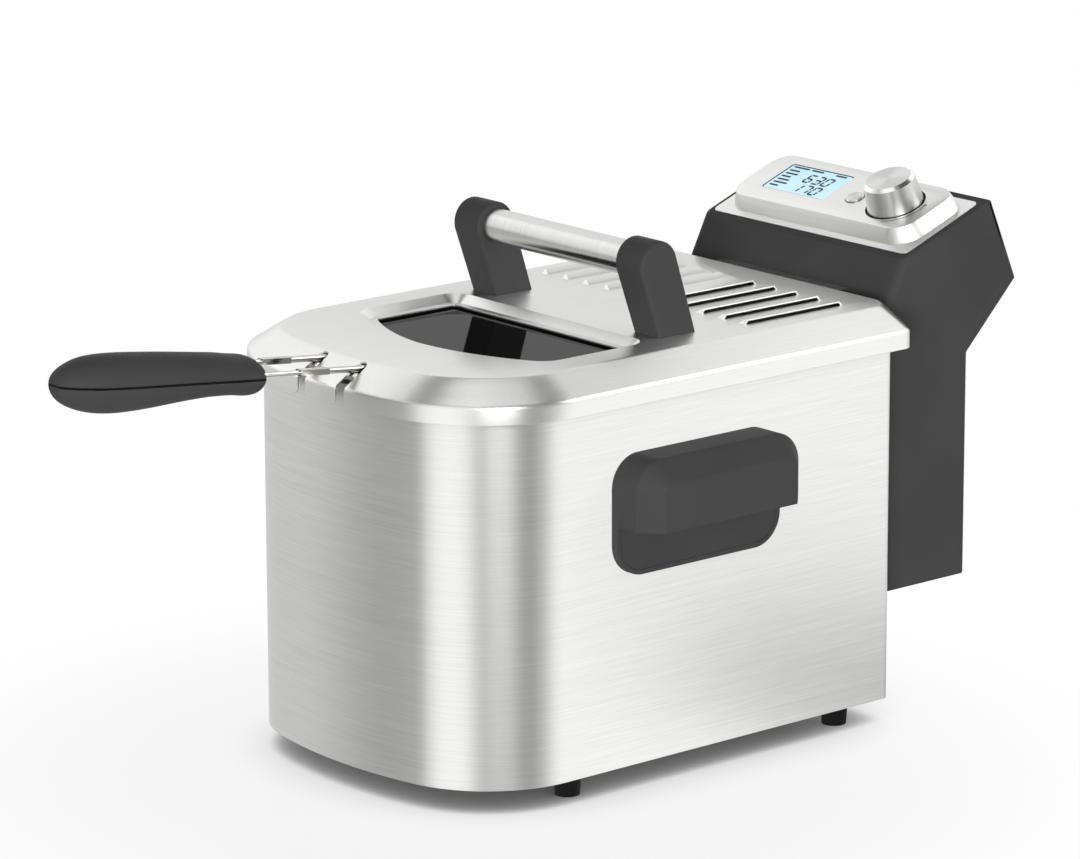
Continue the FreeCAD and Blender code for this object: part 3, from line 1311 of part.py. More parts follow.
def lid_cover():
    """The pressed lid: rim, skirt, sunk window frame, louvres, arm notches and a gap for the element head."""
    sheet = lid_form(0, LID_RIM_BOTTOM).cut(lid_form(LID_SHEET, LID_RIM_BOTTOM - LID_SHEET))
    floor = LID_TOP - WINDOW_DEPTH
    pan = loft(
        window_outline(-LID_SHEET, LID_TOP - RUNNING_GAP),
        window_outline(WINDOW_SLOPE_RUN - LID_SHEET, floor - LID_SHEET))
    dish = loft(window_outline(0, LID_TOP), window_outline(WINDOW_SLOPE_RUN, floor))
    opening = upright(window_outline(WINDOW_SLOPE_RUN + WINDOW_LEDGE, floor - 2 * LID_SHEET), WINDOW_DEPTH)
    hoods = []
    cuts = [dish, opening]
    for side in (-1, 1):
        cuts.append(arm_notch(side))
        for index in range(LOUVRES_PER_SIDE):
            hood, throat = louvre(side, index)
            hoods.append(hood)
            cuts.append(throat)
        for seat in post_screw_seats(side):
            cuts.append(screw_hole(seat, Vector(0, 0, 1), LID_SHEET))
    half_gap = HEAD_WIDTH / 2 + 4 * BODY_GAP
    behind = REAR_Y + 2 * LID_REAR_OVERHANG
    cuts.append(box(Vector(-half_gap, REAR_Y, LID_RIM_BOTTOM), Vector(half_gap, behind, LID_UNDER)))
    return sheet.fuse([pan] + hoods).cut(cuts).removeSplitter()


def lid_liner():
    """A drip lip inside the bowl's mouth, with gaps for the basket arms and the element head."""
    top = LID_UNDER
    inner = LID_LIP_OUTSET - LID_LIP_FLANGE

    def block(outset, low):
        radius = LID_LIP_REAR_RADIUS + outset - inner
        return upright(body_outline(outset, low, radius), top - low)

    bottom = top - LID_LIP_DROP
    behind_lip = block(LID_LIP_OUTSET - LID_SHEET, bottom - LID_SHEET)
    behind_lip = behind_lip.cut(block(LID_LIP_OUTSET, top - LID_SHEET))
    lip = block(LID_LIP_OUTSET, bottom).cut([behind_lip, block(inner, bottom)])
    front_gap = ARM_X + LID_NOTCH_WIDTH
    rear_gap = HEAD_WIDTH / 2 + 4 * BODY_GAP
    low = top - 2 * LID_LIP_DROP
    across, front, rear = filter_span()
    side_gap = across + RUNNING_GAP
    return lip.cut([
        box(Vector(-front_gap, FRONT_Y, low), Vector(front_gap, FRONT_Y / 2, LID_TOP)),
        box(Vector(-rear_gap, REAR_Y / 2, low), Vector(rear_gap, REAR_Y, LID_TOP)),
        box(Vector(-side_gap, front, low), Vector(side_gap, rear + RUNNING_GAP, LID_TOP))])


def window_gasket():
    ring = upright(window_outline(GLASS_INSET, GLASS_TOP), GASKET_THICKNESS)
    return ring.cut(upright(window_outline(OPENING_INSET, GLASS_TOP), GASKET_THICKNESS))


def window_glass():
    return upright(window_outline(GLASS_INSET, GLASS_BOTTOM), GLASS_THICKNESS)


def window_clamp():
    """An angle frame that holds the glass up against its gasket."""
    low = GLASS_BOTTOM - CLAMP_SHEET
    outer = GLASS_INSET - RUNNING_GAP - CLAMP_SHEET
    frame = upright(window_outline(outer, low), GASKET_TOP - low)
    bed = upright(window_outline(GLASS_INSET - RUNNING_GAP, GLASS_BOTTOM), GASKET_TOP - GLASS_BOTTOM)
    opening = upright(window_outline(GLASS_INSET + CLAMP_LAP, low), GLASS_THICKNESS)
    return frame.cut([bed, opening])


def filter_span():
    across = LOUVRE_FIRST + (LOUVRES_PER_SIDE - 1) * LOUVRE_PITCH + LOUVRE_WIDTH / 2 + FILTER_MARGIN
    front = FRONT_Y + LOUVRE_SETBACK - FILTER_MARGIN
    return across, front, front + LOUVRE_LENGTH + 2 * FILTER_MARGIN


def filter_tray():
    """A shallow slotted tray under the louvres that holds the odour filter."""
    across, front, rear = filter_span()
    low = LID_UNDER - FILTER_HEIGHT - FILTER_WALL
    tray = box(Vector(-across, front, low), Vector(across, rear, LID_UNDER))
    hollow = box(
        Vector(FILTER_WALL - across, front + FILTER_WALL, low + FILTER_WALL),
        Vector(across - FILTER_WALL, rear - FILTER_WALL, LID_UNDER))
    slots = []
    pitch = 2 * across / (FILTER_SLOT_COUNT + 1)
    for index in range(FILTER_SLOT_COUNT):
        middle = (index + 1) * pitch - across
        slots.append(box(
            Vector(middle - pitch / 4, front + 4 * FILTER_WALL, low),
            Vector(middle + pitch / 4, rear - 4 * FILTER_WALL, low + FILTER_WALL)))
    return tray.cut([hollow] + slots)


def odour_filter():
    across, front, rear = filter_span()
    return box(
        Vector(FILTER_WALL - across, front + FILTER_WALL, LID_UNDER - FILTER_HEIGHT),
        Vector(across - FILTER_WALL, rear - FILTER_WALL, LID_UNDER - LID_SHEET))


def tube_end_x():
    return TUBE_SPAN / 2 + TUBE_SOCKET


def lid_handle_tube():
    start = Vector(-tube_end_x(), TUBE_Y, TUBE_Z)
    length = 2 * tube_end_x()
    tube = cylinder(start, Vector(1, 0, 0), TUBE_RADIUS, length)
    return tube.cut(cylinder(start, Vector(1, 0, 0), TUBE_RADIUS - TUBE_WALL, length))


def tangent_point(centre, radius, point, turn):
    """Where a line from point touches the circle, on the side that turn picks."""
    reach = point - centre
    angle = math.atan2(reach.y, reach.x) + turn * math.acos(radius / reach.Length)
    return centre + Vector(math.cos(angle), math.sin(angle), 0) * radius


def post_edges(post, x):
    """The edges of one side of the post, apart from the one that stands on the lid."""
    edges = []
    for edge in post.Edges:
        across = edge.BoundBox
        if abs(across.XMin - x) < RUNNING_GAP and abs(across.XMax - x) < RUNNING_GAP \
                and across.ZMax > LID_TOP + RUNNING_GAP:
            edges.append(edge)
    return edges


def lid_post():
    """Right-hand post: leans forward from the lid to a round head that sockets the tube."""
    centre = Vector(TUBE_Y, TUBE_Z, 0)
    base_front = Vector(POST_FRONT_Y, LID_TOP, 0)
    base_rear = Vector(POST_FRONT_Y + POST_DEPTH, LID_TOP, 0)
    rear_touch = tangent_point(centre, POST_HEAD_RADIUS, base_rear, 1)
    front_touch = tangent_point(centre, POST_HEAD_RADIUS, base_front, -1)
    crown = centre - ((rear_touch + front_touch) / 2 - centre).normalize() * POST_HEAD_RADIUS
    side_view = Part.Wire([
        line(base_front, base_rear), line(base_rear, rear_touch),
        arc(rear_touch, crown, front_touch), line(front_touch, base_front)])
    across = Placement(Vector(POST_INNER_X, 0, 0), FACE_SIDE)
    post = placed(upright(side_view, POST_WIDTH), across)
    post = post.makeFillet(POST_OUTER_EDGE, post_edges(post, POST_OUTER_X))
    post = post.makeFillet(POST_INNER_EDGE, post_edges(post, POST_INNER_X))
    socket = cylinder(Vector(POST_INNER_X, TUBE_Y, TUBE_Z), Vector(1, 0, 0), TUBE_RADIUS, TUBE_SOCKET)
    holes = [screw_hole(seat, Vector(0, 0, 1), POST_SCREW_LENGTH) for seat in post_screw_seats(1)]
    return post.cut([socket] + holes)


def lid_post_screws():
    screws = []
    for side in (-1, 1):
        for seat in post_screw_seats(side):
            screws.append(screw(seat, Vector(0, 0, 1), POST_SCREW_LENGTH))
    return Part.makeCompound(screws)


def build_pieces():
    right_handle = side_handle()
    right_post = lid_post()
    return {
        "outer_wall": outer_wall(),
        "base_plate": base_plate(),
        "feet": feet(),
        "side_handle_right": right_handle,
        "side_handle_left": mirrored(right_handle),
        "side_handle_screws": side_handle_screws(),
        "pod_rails": pod_rails(),
        "rail_screws": rail_screws(),
        "oil_bowl": oil_bowl(),
        "pod_front_shell": pod_front_shell(),
        "pod_rear_cover": pod_rear_cover(),
        "pod_cover_screws": pod_cover_screws(),
        "cord_inlet": cord_inlet(),
        "face_plate": face_plate(),
        "console": console(),
        "display_lens": display_lens(),
        "display_module": display_module(),
        "control_board": control_board(),
        "encoder_body": encoder_body(),
        "encoder_rotor": encoder_rotor(),
        "knob_shaft": knob_shaft(),
        "knob": knob(),
        "start_button": start_button(),
        "start_switch": start_switch(),
        "power_board": power_board(),
        "relay": relay(),
        "terminal_block": terminal_block(),
        "interlock_switch": interlock_switch(),
        "thermal_cutout": thermal_cutout(),
        "element_head": element_head(),
        "heating_element": heating_element(),
        "temperature_probe": temperature_probe(),
        "basket_floor_mesh": basket_floor_mesh(),
        "basket_front_mesh": basket_end_mesh(BASKET_FRONT_Y + MESH_SHEET),
        "basket_rear_mesh": basket_end_mesh(BASKET_REAR_Y),
        "basket_left_mesh": basket_side_mesh(-1),
        "basket_right_mesh": basket_side_mesh(1),
        "basket_rim_wire": basket_rim_wire(),
        "basket_base_wire": basket_base_wire(),
        "basket_corner_wires": basket_corner_wires(),
        "basket_arms": basket_arms(),
        "handle_rods": handle_rods(),
        "handle_upper_half": handle_half(1),
        "handle_lower_half": handle_half(-1),
        "handle_screw": handle_screw(),
        "lid_cover": lid_cover(),
        "lid_liner": lid_liner(),
        "window_gasket": window_gasket(),
        "window_glass": window_glass(),
        "window_clamp": window_clamp(),
        "filter_tray": filter_tray(),
        "odour_filter": odour_filter(),
        "lid_handle_tube": lid_handle_tube(),
        "lid_post_right": right_post,
        "lid_post_left": mirrored(right_post),
        "lid_post_screws": lid_post_screws(),
    }


def write_pieces(pieces):
    """Move every piece so that the origin lies under the middle of the fryer, and write it."""
    os.makedirs("parts", exist_ok=True)
    boxes = {name: shape.optimalBoundingBox(False, False) for name, shape in pieces.items()}
    front = min(tight.YMin for tight in boxes.values())
    rear = max(tight.YMax for tight in boxes.values())
    shift = Placement(Vector(0, -(front + rear) / 2, 0), Rotation())
    for name, shape in pieces.items():
        placed(shape, shift).exportStep("parts/" + name + ".step")
        print(name, len(shape.Solids), round(shape.Volume, 1), shape.isValid())
    print("moved along Y by", round(shift.Base.y, 3))


write_pieces(build_pieces())
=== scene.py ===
import json
import math

import bpy
from mathutils import Matrix, Vector


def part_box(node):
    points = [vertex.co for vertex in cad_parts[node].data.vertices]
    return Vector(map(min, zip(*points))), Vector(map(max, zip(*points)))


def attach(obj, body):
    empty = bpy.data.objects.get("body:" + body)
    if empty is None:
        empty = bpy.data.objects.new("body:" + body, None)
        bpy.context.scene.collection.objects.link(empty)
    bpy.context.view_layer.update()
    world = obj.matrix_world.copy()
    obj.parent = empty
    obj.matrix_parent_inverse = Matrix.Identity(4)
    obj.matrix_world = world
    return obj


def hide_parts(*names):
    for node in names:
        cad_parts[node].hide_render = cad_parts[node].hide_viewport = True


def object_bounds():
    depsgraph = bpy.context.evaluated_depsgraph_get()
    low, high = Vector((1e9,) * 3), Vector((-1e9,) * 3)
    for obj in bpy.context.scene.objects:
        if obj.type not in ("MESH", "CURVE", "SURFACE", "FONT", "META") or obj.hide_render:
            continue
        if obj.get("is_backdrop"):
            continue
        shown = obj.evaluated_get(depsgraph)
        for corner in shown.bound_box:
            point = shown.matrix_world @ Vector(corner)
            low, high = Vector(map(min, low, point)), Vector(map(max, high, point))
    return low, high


# Deep fryer in brushed stainless steel and charcoal plastic, in metres, +Z up, front towards -Y.

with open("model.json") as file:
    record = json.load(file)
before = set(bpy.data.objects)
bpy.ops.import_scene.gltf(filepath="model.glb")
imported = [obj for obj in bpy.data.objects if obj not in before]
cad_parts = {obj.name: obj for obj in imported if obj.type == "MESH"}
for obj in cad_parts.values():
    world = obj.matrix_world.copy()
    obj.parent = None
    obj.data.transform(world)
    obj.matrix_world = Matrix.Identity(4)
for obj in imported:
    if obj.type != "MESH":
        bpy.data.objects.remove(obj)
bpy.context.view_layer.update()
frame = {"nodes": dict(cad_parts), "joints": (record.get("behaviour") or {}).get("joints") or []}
nodes = frame["nodes"]
joints = {joint["name"]: joint for joint in frame["joints"]}

MM = 0.001
ACROSS = Vector((1, 0, 0))
BACK = Vector((0, 1, 0))
UP = Vector((0, 0, 1))

# Places taken from the frame
wall_low, wall_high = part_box("outer_wall")
BODY_MIDDLE = Vector((0, (wall_low.y + wall_high.y) / 2, 0))
KNOB_PLACE = Vector(joints["knob_turn"]["pos_m"])
PANEL_UP = Vector(joints["knob_turn"]["axis"]).normalized()
PANEL_BACK = PANEL_UP.cross(ACROSS)

# Photograph: its width and the focal length in pixels, and the camera's direction, roll and place
PHOTO_WIDTH = 1080
FOCAL_PIXELS = 5479.5
SENSOR_WIDTH = 36.0
CAMERA_AZIMUTH = 49.74
CAMERA_ELEVATION = 14.21
CAMERA_ROLL = -0.16
CAMERA_DISTANCE = 3.05125
CAMERA_ASIDE = -0.00742
CAMERA_ABOVE = 0.1666
CAMERA_SIGHT = 100

# Control panel: its own axes, across it, up its slope and out of it
PANEL = Matrix((ACROSS, PANEL_BACK, PANEL_UP)).transposed().to_4x4()

# Console: its draft, corners, crisp edge and sheet, and the openings in it
CONSOLE_DRAFT = 3.4 * MM
CONSOLE_CORNER = 16.0 * MM
CONSOLE_CORNER_STEPS = 12
CONSOLE_EDGE = 0.3 * MM
CONSOLE_EDGE_STEPS = 2
CONSOLE_SHEET = 2.0 * MM
BUTTON_HOLE = 5.9 * MM
SHAFT_HOLE = 4.1 * MM
KNOB_WELL = 17.6 * MM
KNOB_WELL_DEPTH = 1.7 * MM
HOLE_SIDES = 64

# Knob: a tapered flank, a bright chamfer and a flat crown; its foot comes down to the mouth of its well
KNOB_FOOT = 16.4 * MM
KNOB_CROWN = 14.8 * MM
KNOB_CHAMFER = 1.8 * MM
KNOB_UNDERCUT = 3.0 * MM
KNOB_WALL = 2.0 * MM
KNOB_SIDES = 96

# Display: the lip under the console, the line round the glass, and the figures on it
SCREEN_LIP = 1.5 * MM
SCREEN_GAP = 0.15 * MM
SCREEN_CORNER = 2.0 * MM
SCREEN_CORNER_STEPS = 5
SCREEN_FRAME = 0.35 * MM
INK_HEIGHT = 0.06 * MM
DIGIT_WIDTH = 4.8 * MM
DIGIT_HEIGHT = 7.8 * MM
DIGIT_STROKE = 1.35 * MM
DIGIT_PITCH = 7.4 * MM
DIGIT_SLANT = math.radians(9)
DIGIT_END_GAP = 0.55 * DIGIT_STROKE
NUMBERS_LEFT = 21.0 * MM
NUMBER_BASES = {"630": 13.0 * MM, "170": 2.4 * MM}

# Dashes on the display: a list down its left side and a row along its top, in millimetres from its corner
LIST_PITCH = 3.4 * MM
LIST_STROKE = 1.5 * MM
LIST_LEFT = 3.0 * MM
LIST_TOP = 6.0 * MM
LIST_LENGTHS = (7.5, 9.0, 6.5, 8.5, 10.0, 6.0)
ROW_TOP = 2.2 * MM
ROW_DASHES = ((3.0, 12.0), (18.0, 9.0), (38.0, 8.0))
# How far a bar runs past its ends and how deep its corners are cut, in strokes
BAR_OVERRUN = 0.8
BAR_POINT = 0.42

# Arrow arc printed round the knob
ARC_RADIUS = 20.0 * MM
ARC_STROKE = 0.5 * MM
ARC_START = math.radians(-70)
ARC_TURN = math.radians(84)
ARC_STEPS = 20
ARC_JOIN = 0.01 * MM
ARROW_RADIUS = 1.3 * MM

# Basket weave: the wire, and about how far apart the wires lie
WEAVE_WIRE = 0.55 * MM
WEAVE_PITCH = 8.0 * MM
WEAVE_SIDES = 6
WEAVE_SMOOTH = math.radians(50)

# Painted shadow between the two halves of the basket grip: a black band along the parting line
SEAM_HEIGHT = 0.9 * MM
SEAM_SKIN = 0.08 * MM

# Screws, pan heads with a cross recess
SCREW_HEAD = 3.0 * MM
SCREW_HEAD_HEIGHT = 2.0 * MM
SCREW_SHANK = 1.5 * MM
SCREW_DOME = 0.9 * MM
SCREW_DOME_STEPS = 3
SCREW_SIDES = 24
SCREW_SMOOTH = math.radians(35)
RECESS_REACH = 1.9 * MM
RECESS_WIDTH = 0.8 * MM
RECESS_DEPTH = 1.3 * MM

# Meshes: the angle up to which faces shade as one curve, the distance at which corners are one, and how
# straight along an axis a face or an edge has to lie to count as flat or upright
SMOOTH_ANGLE = math.radians(32)
JOIN_DISTANCE = 0.001 * MM
STRAIGHT = 0.9
CHAMFER_TILT = 0.5

# Noise in the materials lies mostly between these levels
NOISE_LOW = 0.3
NOISE_HIGH = 0.7


# Colour and node helpers

def linear(hex_colour):
    """An sRGB hex colour as linear red, green, blue and alpha."""
    channels = [int(hex_colour[start:start + 2], 16) / 255 for start in (1, 3, 5)]
    low = [value / 12.92 for value in channels]
    high = [((value + 0.055) / 1.055) ** 2.4 for value in channels]
    mixed = [low[i] if channels[i] <= 0.04045 else high[i] for i in range(3)]
    return (*mixed, 1.0)


def grey(level):
    return (level, level, level, 1.0)


def add_node(tree, kind, settings=None, sockets=None):
    """Adds a node; a socket is given a value, or another node's output to link from."""
    node = tree.nodes.new(kind)
    for name, value in (settings or {}).items():
        setattr(node, name, value)
    for name, value in (sockets or {}).items():
        if isinstance(value, bpy.types.NodeSocket):
            tree.links.new(value, node.inputs[name])
        else:
            node.inputs[name].default_value = value
    return node


def set_stops(ramp, stops):
    """Gives a Color Ramp its (position, colour) stops."""
    elements = ramp.color_ramp.elements
    while len(elements) < len(stops):
        elements.new(0.5)
    for element, (position, colour) in zip(elements, stops):
        element.position = position
        element.color = colour


def start_material(name):
    material = bpy.data.materials.new(name)
    material.use_nodes = True
    material.node_tree.nodes.clear()
    return material, material.node_tree


def finish_material(tree, sockets):
    shader = add_node(tree, "ShaderNodeBsdfPrincipled", sockets=sockets)
    add_node(tree, "ShaderNodeOutputMaterial", sockets={"Surface": shader.outputs["BSDF"]})


# Materials

def brushed_stainless(name, across, stretch, dark, light, roughness):
    """Stainless sheet brushed on a belt: fine scratches one way, so that reflections smear across them."""
    material, tree = start_material(name)
    place = add_node(tree, "ShaderNodeTexCoord").outputs["Object"]
    along = add_node(tree, "ShaderNodeMapping", sockets={"Vector": place, "Scale": stretch})
    scratches = add_node(tree, "ShaderNodeTexNoise", sockets={
        "Vector": along.outputs["Vector"], "Scale": 1.0, "Detail": 3.0, "Roughness": 0.6})
    tone = add_node(tree, "ShaderNodeValToRGB", sockets={"Fac": scratches.outputs["Fac"]})
    set_stops(tone, [(NOISE_LOW, linear(dark)), (NOISE_HIGH, linear(light))])
    gloss = add_node(tree, "ShaderNodeMapRange", sockets={
        "Value": scratches.outputs["Fac"], "From Min": NOISE_LOW, "From Max": NOISE_HIGH,
        "To Min": roughness - 0.02, "To Max": roughness + 0.02})
    edge = add_node(tree, "ShaderNodeBevel", {"samples": 4}, {"Radius": 0.5 * MM})
    bump = add_node(tree, "ShaderNodeBump", sockets={
        "Height": scratches.outputs["Fac"], "Strength": 0.02, "Distance": 0.1 * MM,
        "Normal": edge.outputs["Normal"]})
    facing = add_node(tree, "ShaderNodeNewGeometry").outputs["Normal"]
    brushing = add_node(tree, "ShaderNodeVectorMath", {"operation": "CROSS_PRODUCT"}, {0: facing, 1: across})
    finish_material(tree, {
        "Base Color": tone.outputs["Color"], "Metallic": 1.0, "Roughness": gloss.outputs["Result"],
        "Anisotropic": 0.7, "Anisotropic Rotation": 0.25, "Tangent": brushing.outputs["Vector"],
        "Normal": bump.outputs["Normal"]})
    return material


def drawn_steel(name, colour, roughness, grain):
    """Metal drawn, rolled or cut bright: clear to soft reflections with a faint orange-peel unevenness."""
    material, tree = start_material(name)
    place = add_node(tree, "ShaderNodeTexCoord").outputs["Object"]
    peel = add_node(tree, "ShaderNodeTexNoise", sockets={
        "Vector": place, "Scale": 1 / grain, "Detail": 3.0})
    gloss = add_node(tree, "ShaderNodeMapRange", sockets={
        "Value": peel.outputs["Fac"], "From Min": NOISE_LOW, "From Max": NOISE_HIGH,
        "To Min": roughness * 0.8, "To Max": roughness * 1.2})
    bump = add_node(tree, "ShaderNodeBump", sockets={
        "Height": peel.outputs["Fac"], "Strength": 0.04, "Distance": 0.2 * MM})
    finish_material(tree, {
        "Base Color": linear(colour), "Metallic": 1.0, "Roughness": gloss.outputs["Result"],
        "Normal": bump.outputs["Normal"]})
    return material


def moulded_plastic(name, dark, light, roughness, grain):
    """Plastic from a spark-eroded mould: a fine even grain that dulls the sheen at every angle."""
    material, tree = start_material(name)
    place = add_node(tree, "ShaderNodeTexCoord").outputs["Object"]
    pits = add_node(tree, "ShaderNodeTexNoise", sockets={
        "Vector": place, "Scale": 1 / grain, "Detail": 2.0, "Roughness": 0.6})
    clouds = add_node(tree, "ShaderNodeTexNoise", sockets={"Vector": place, "Scale": 1 / (60 * MM)})
    tone = add_node(tree, "ShaderNodeValToRGB", sockets={"Fac": clouds.outputs["Fac"]})
    set_stops(tone, [(0.35, linear(dark)), (0.65, linear(light))])
    gloss = add_node(tree, "ShaderNodeMapRange", sockets={
        "Value": pits.outputs["Fac"], "From Min": NOISE_LOW, "From Max": NOISE_HIGH,
        "To Min": roughness - 0.05, "To Max": roughness + 0.05})
    edge = add_node(tree, "ShaderNodeBevel", {"samples": 4}, {"Radius": 0.6 * MM})
    bump = add_node(tree, "ShaderNodeBump", sockets={
        "Height": pits.outputs["Fac"], "Strength": 0.12, "Distance": 0.1 * MM,
        "Normal": edge.outputs["Normal"]})
    finish_material(tree, {
        "Base Color": tone.outputs["Color"], "Roughness": gloss.outputs["Result"], "IOR": 1.16,
        "Normal": bump.outputs["Normal"]})
    return material


def spun_aluminium(name, middle, dark, light):
    """Aluminium turned on a lathe: fine rings about its axis spread the light into a fan on the face."""
    material, tree = start_material(name)
    place = add_node(tree, "ShaderNodeTexCoord").outputs["Object"]
    reach = add_node(tree, "ShaderNodeVectorMath", {"operation": "SUBTRACT"}, {0: place, 1: middle})
    ring = add_node(tree, "ShaderNodeVectorMath", {"operation": "CROSS_PRODUCT"}, {
        0: PANEL_UP, 1: reach.outputs["Vector"]})
    radius = add_node(tree, "ShaderNodeVectorMath", {"operation": "LENGTH"}, {0: ring.outputs["Vector"]})
    # Tool marks about 0.7 mm apart, drawn coarser than real ones so that they show
    marks = add_node(tree, "ShaderNodeTexNoise", {"noise_dimensions": "1D"}, {
        "W": radius.outputs["Value"], "Scale": 1 / (0.7 * MM), "Detail": 2.0})
    tone = add_node(tree, "ShaderNodeValToRGB", sockets={"Fac": marks.outputs["Fac"]})
    set_stops(tone, [(NOISE_LOW, linear(dark)), (NOISE_HIGH, linear(light))])
    finish_material(tree, {
        "Base Color": tone.outputs["Color"], "Metallic": 1.0, "Roughness": 0.3, "Anisotropic": 0.75,
        "Anisotropic Rotation": 0.25, "Tangent": ring.outputs["Vector"]})
    return material


def smoked_glass(name):
    """Toughened glass with a dark tint: black in itself, with clear reflections on its face."""
    material, tree = start_material(name)
    place = add_node(tree, "ShaderNodeTexCoord").outputs["Object"]
    ripple = add_node(tree, "ShaderNodeTexNoise", sockets={"Vector": place, "Scale": 1 / (40 * MM)})
    gloss = add_node(tree, "ShaderNodeMapRange", sockets={
        "Value": ripple.outputs["Fac"], "To Min": 0.02, "To Max": 0.06})
    finish_material(tree, {
        "Base Color": linear("#0b0b0c"), "Roughness": gloss.outputs["Result"], "IOR": 1.52,
        "Specular IOR Level": 0.02})
    return material


def clear_acrylic(name):
    """Clear acrylic window over the display: see-through, with a faint haze from wiping."""
    material, tree = start_material(name)
    place = add_node(tree, "ShaderNodeTexCoord").outputs["Object"]
    haze = add_node(tree, "ShaderNodeTexNoise", sockets={"Vector": place, "Scale": 1 / (12 * MM)})
    gloss = add_node(tree, "ShaderNodeMapRange", sockets={
        "Value": haze.outputs["Fac"], "To Min": 0.0, "To Max": 0.04})
    finish_material(tree, {
        "Base Color": linear("#ffffff"), "Roughness": gloss.outputs["Result"], "IOR": 1.49,
        "Transmission Weight": 1.0})
    return material


def felt_pad(name):
    """Needled filter felt impregnated with carbon: matt dark fibres."""
    material, tree = start_material(name)
    place = add_node(tree, "ShaderNodeTexCoord").outputs["Object"]
    fibres = add_node(tree, "ShaderNodeTexNoise", sockets={
        "Vector": place, "Scale": 1 / (1.5 * MM), "Detail": 6.0})
    tone = add_node(tree, "ShaderNodeValToRGB", sockets={"Fac": fibres.outputs["Fac"]})
    set_stops(tone, [(NOISE_LOW, linear("#1d1d1c")), (NOISE_HIGH, linear("#3a3936"))])
    bump = add_node(tree, "ShaderNodeBump", sockets={
        "Height": fibres.outputs["Fac"], "Strength": 0.6, "Distance": 0.5 * MM})
    finish_material(tree, {
        "Base Color": tone.outputs["Color"], "Roughness": 0.95, "Normal": bump.outputs["Normal"]})
    return material


def circuit_board(name):
    """Glass-epoxy board under green solder mask: a fine cloth weave shows faintly through the gloss."""
    material, tree = start_material(name)
    place = add_node(tree, "ShaderNodeTexCoord").outputs["Object"]
    weave = add_node(tree, "ShaderNodeTexChecker", sockets={
        "Vector": place, "Scale": 1 / (1 * MM), "Color1": linear("#175c36"), "Color2": linear("#1b663d")})
    finish_material(tree, {"Base Color": weave.outputs["Color"], "Roughness": 0.35, "IOR": 1.5})
    return material


def lit_display(name):
    """Liquid-crystal glass over a pale blue backlight: a soft glow, a little uneven from the light guide."""
    material, tree = start_material(name)
    place = add_node(tree, "ShaderNodeTexCoord").outputs["Object"]
    guide = add_node(tree, "ShaderNodeTexNoise", sockets={"Vector": place, "Scale": 1 / (25 * MM)})
    tone = add_node(tree, "ShaderNodeValToRGB", sockets={"Fac": guide.outputs["Fac"]})
    set_stops(tone, [(NOISE_LOW, linear("#b4dcec")), (NOISE_HIGH, linear("#c4e6f2"))])
    finish_material(tree, {
        "Base Color": linear("#20282c"), "Roughness": 0.3, "Emission Color": tone.outputs["Color"],
        "Emission Strength": 1.0})
    return material


def printed_ink(name, dark, light):
    """Screen-printed ink: a thin matt film, a little thinner here and there."""
    material, tree = start_material(name)
    place = add_node(tree, "ShaderNodeTexCoord").outputs["Object"]
    film = add_node(tree, "ShaderNodeTexNoise", sockets={"Vector": place, "Scale": 1 / (2 * MM)})
    tone = add_node(tree, "ShaderNodeValToRGB", sockets={"Fac": film.outputs["Fac"]})
    set_stops(tone, [(NOISE_LOW, linear(dark)), (NOISE_HIGH, linear(light))])
    finish_material(tree, {"Base Color": tone.outputs["Color"], "Roughness": 0.6})
    return material


# Brushing scratches: how often they change along and across the sheet, per metre. Real ones are about 0.1 mm
# apart, and are drawn about 0.7 mm apart so that they show.
WALL_STEEL = brushed_stainless(
    "stainless_brushed_round_the_wall", (0, 0, 1), (22, 22, 1400), "#d0d0ce", "#dcdcda", 0.30)
LID_STEEL = brushed_stainless(
    "stainless_brushed_along_the_lid", (0.15, 0, 1), (1400, 22, 1400), "#d6d6d4", "#dededc", 0.32)
TUBE_STEEL = brushed_stainless(
    "stainless_tube_ground_in_rings", (1, 0, 0), (1400, 22, 22), "#cacac8", "#d6d6d4", 0.24)
PLATE_STEEL = brushed_stainless(
    "stainless_panel_brushed_across", (0, 1, 0), (22, 1400, 1400), "#dadad8", "#e2e2e0", 0.34)
BOWL_STEEL = drawn_steel("stainless_deep_drawn", "#d4d4d0", 0.22, 6 * MM)
WIRE_STEEL = drawn_steel("steel_wire_nickel_plated", "#b9b7b2", 0.1, 3 * MM)
ELEMENT_STEEL = drawn_steel("element_sheath_heat_dulled", "#8d8780", 0.38, 4 * MM)
SCREW_STEEL = drawn_steel("steel_screw_zinc_plated", "#c3c2bd", 0.28, 2 * MM)
CHARCOAL = moulded_plastic("nylon_charcoal_moulded", "#464647", "#4b4b4c", 0.52, 1.2 * MM)
BLACK = moulded_plastic("phenolic_black_moulded", "#161616", "#1b1b1b", 0.4, 1.2 * MM)
RUBBER = moulded_plastic("silicone_rubber_black", "#141414", "#1a1a1a", 0.62, 1.5 * MM)
KNOB_METAL = spun_aluminium("aluminium_turned_crown", KNOB_PLACE, "#cdcdcb", "#d3d3d1")
# Painted shade: the flank is the crown's turned aluminium, given a darker colour so that its side renders
# darker
SHADED_FLANK_METAL = spun_aluminium("aluminium_turned_flank_painted_shade", KNOB_PLACE, "#c0c0be", "#c8c8c6")
CHAMFER_METAL = drawn_steel("aluminium_diamond_cut_chamfer", "#e6e6e4", 0.07, 8 * MM)
BUTTON_METAL = spun_aluminium(
    "aluminium_turned_button", sum(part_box("start_button"), Vector()) / 2, "#c6c6c4", "#d4d4d2")
GLASS = smoked_glass("glass_smoked_toughened")
ACRYLIC = clear_acrylic("acrylic_clear_window")
FELT = felt_pad("felt_carbon_filter")
BOARD = circuit_board("glass_epoxy_board_green")
LCD = lit_display("liquid_crystal_glass_backlit")
LCD_INK = printed_ink("liquid_crystal_dark_figures", "#1c2831", "#26343e")
MARK_INK = printed_ink("screen_print_grey", "#3c3c3d", "#48484a")

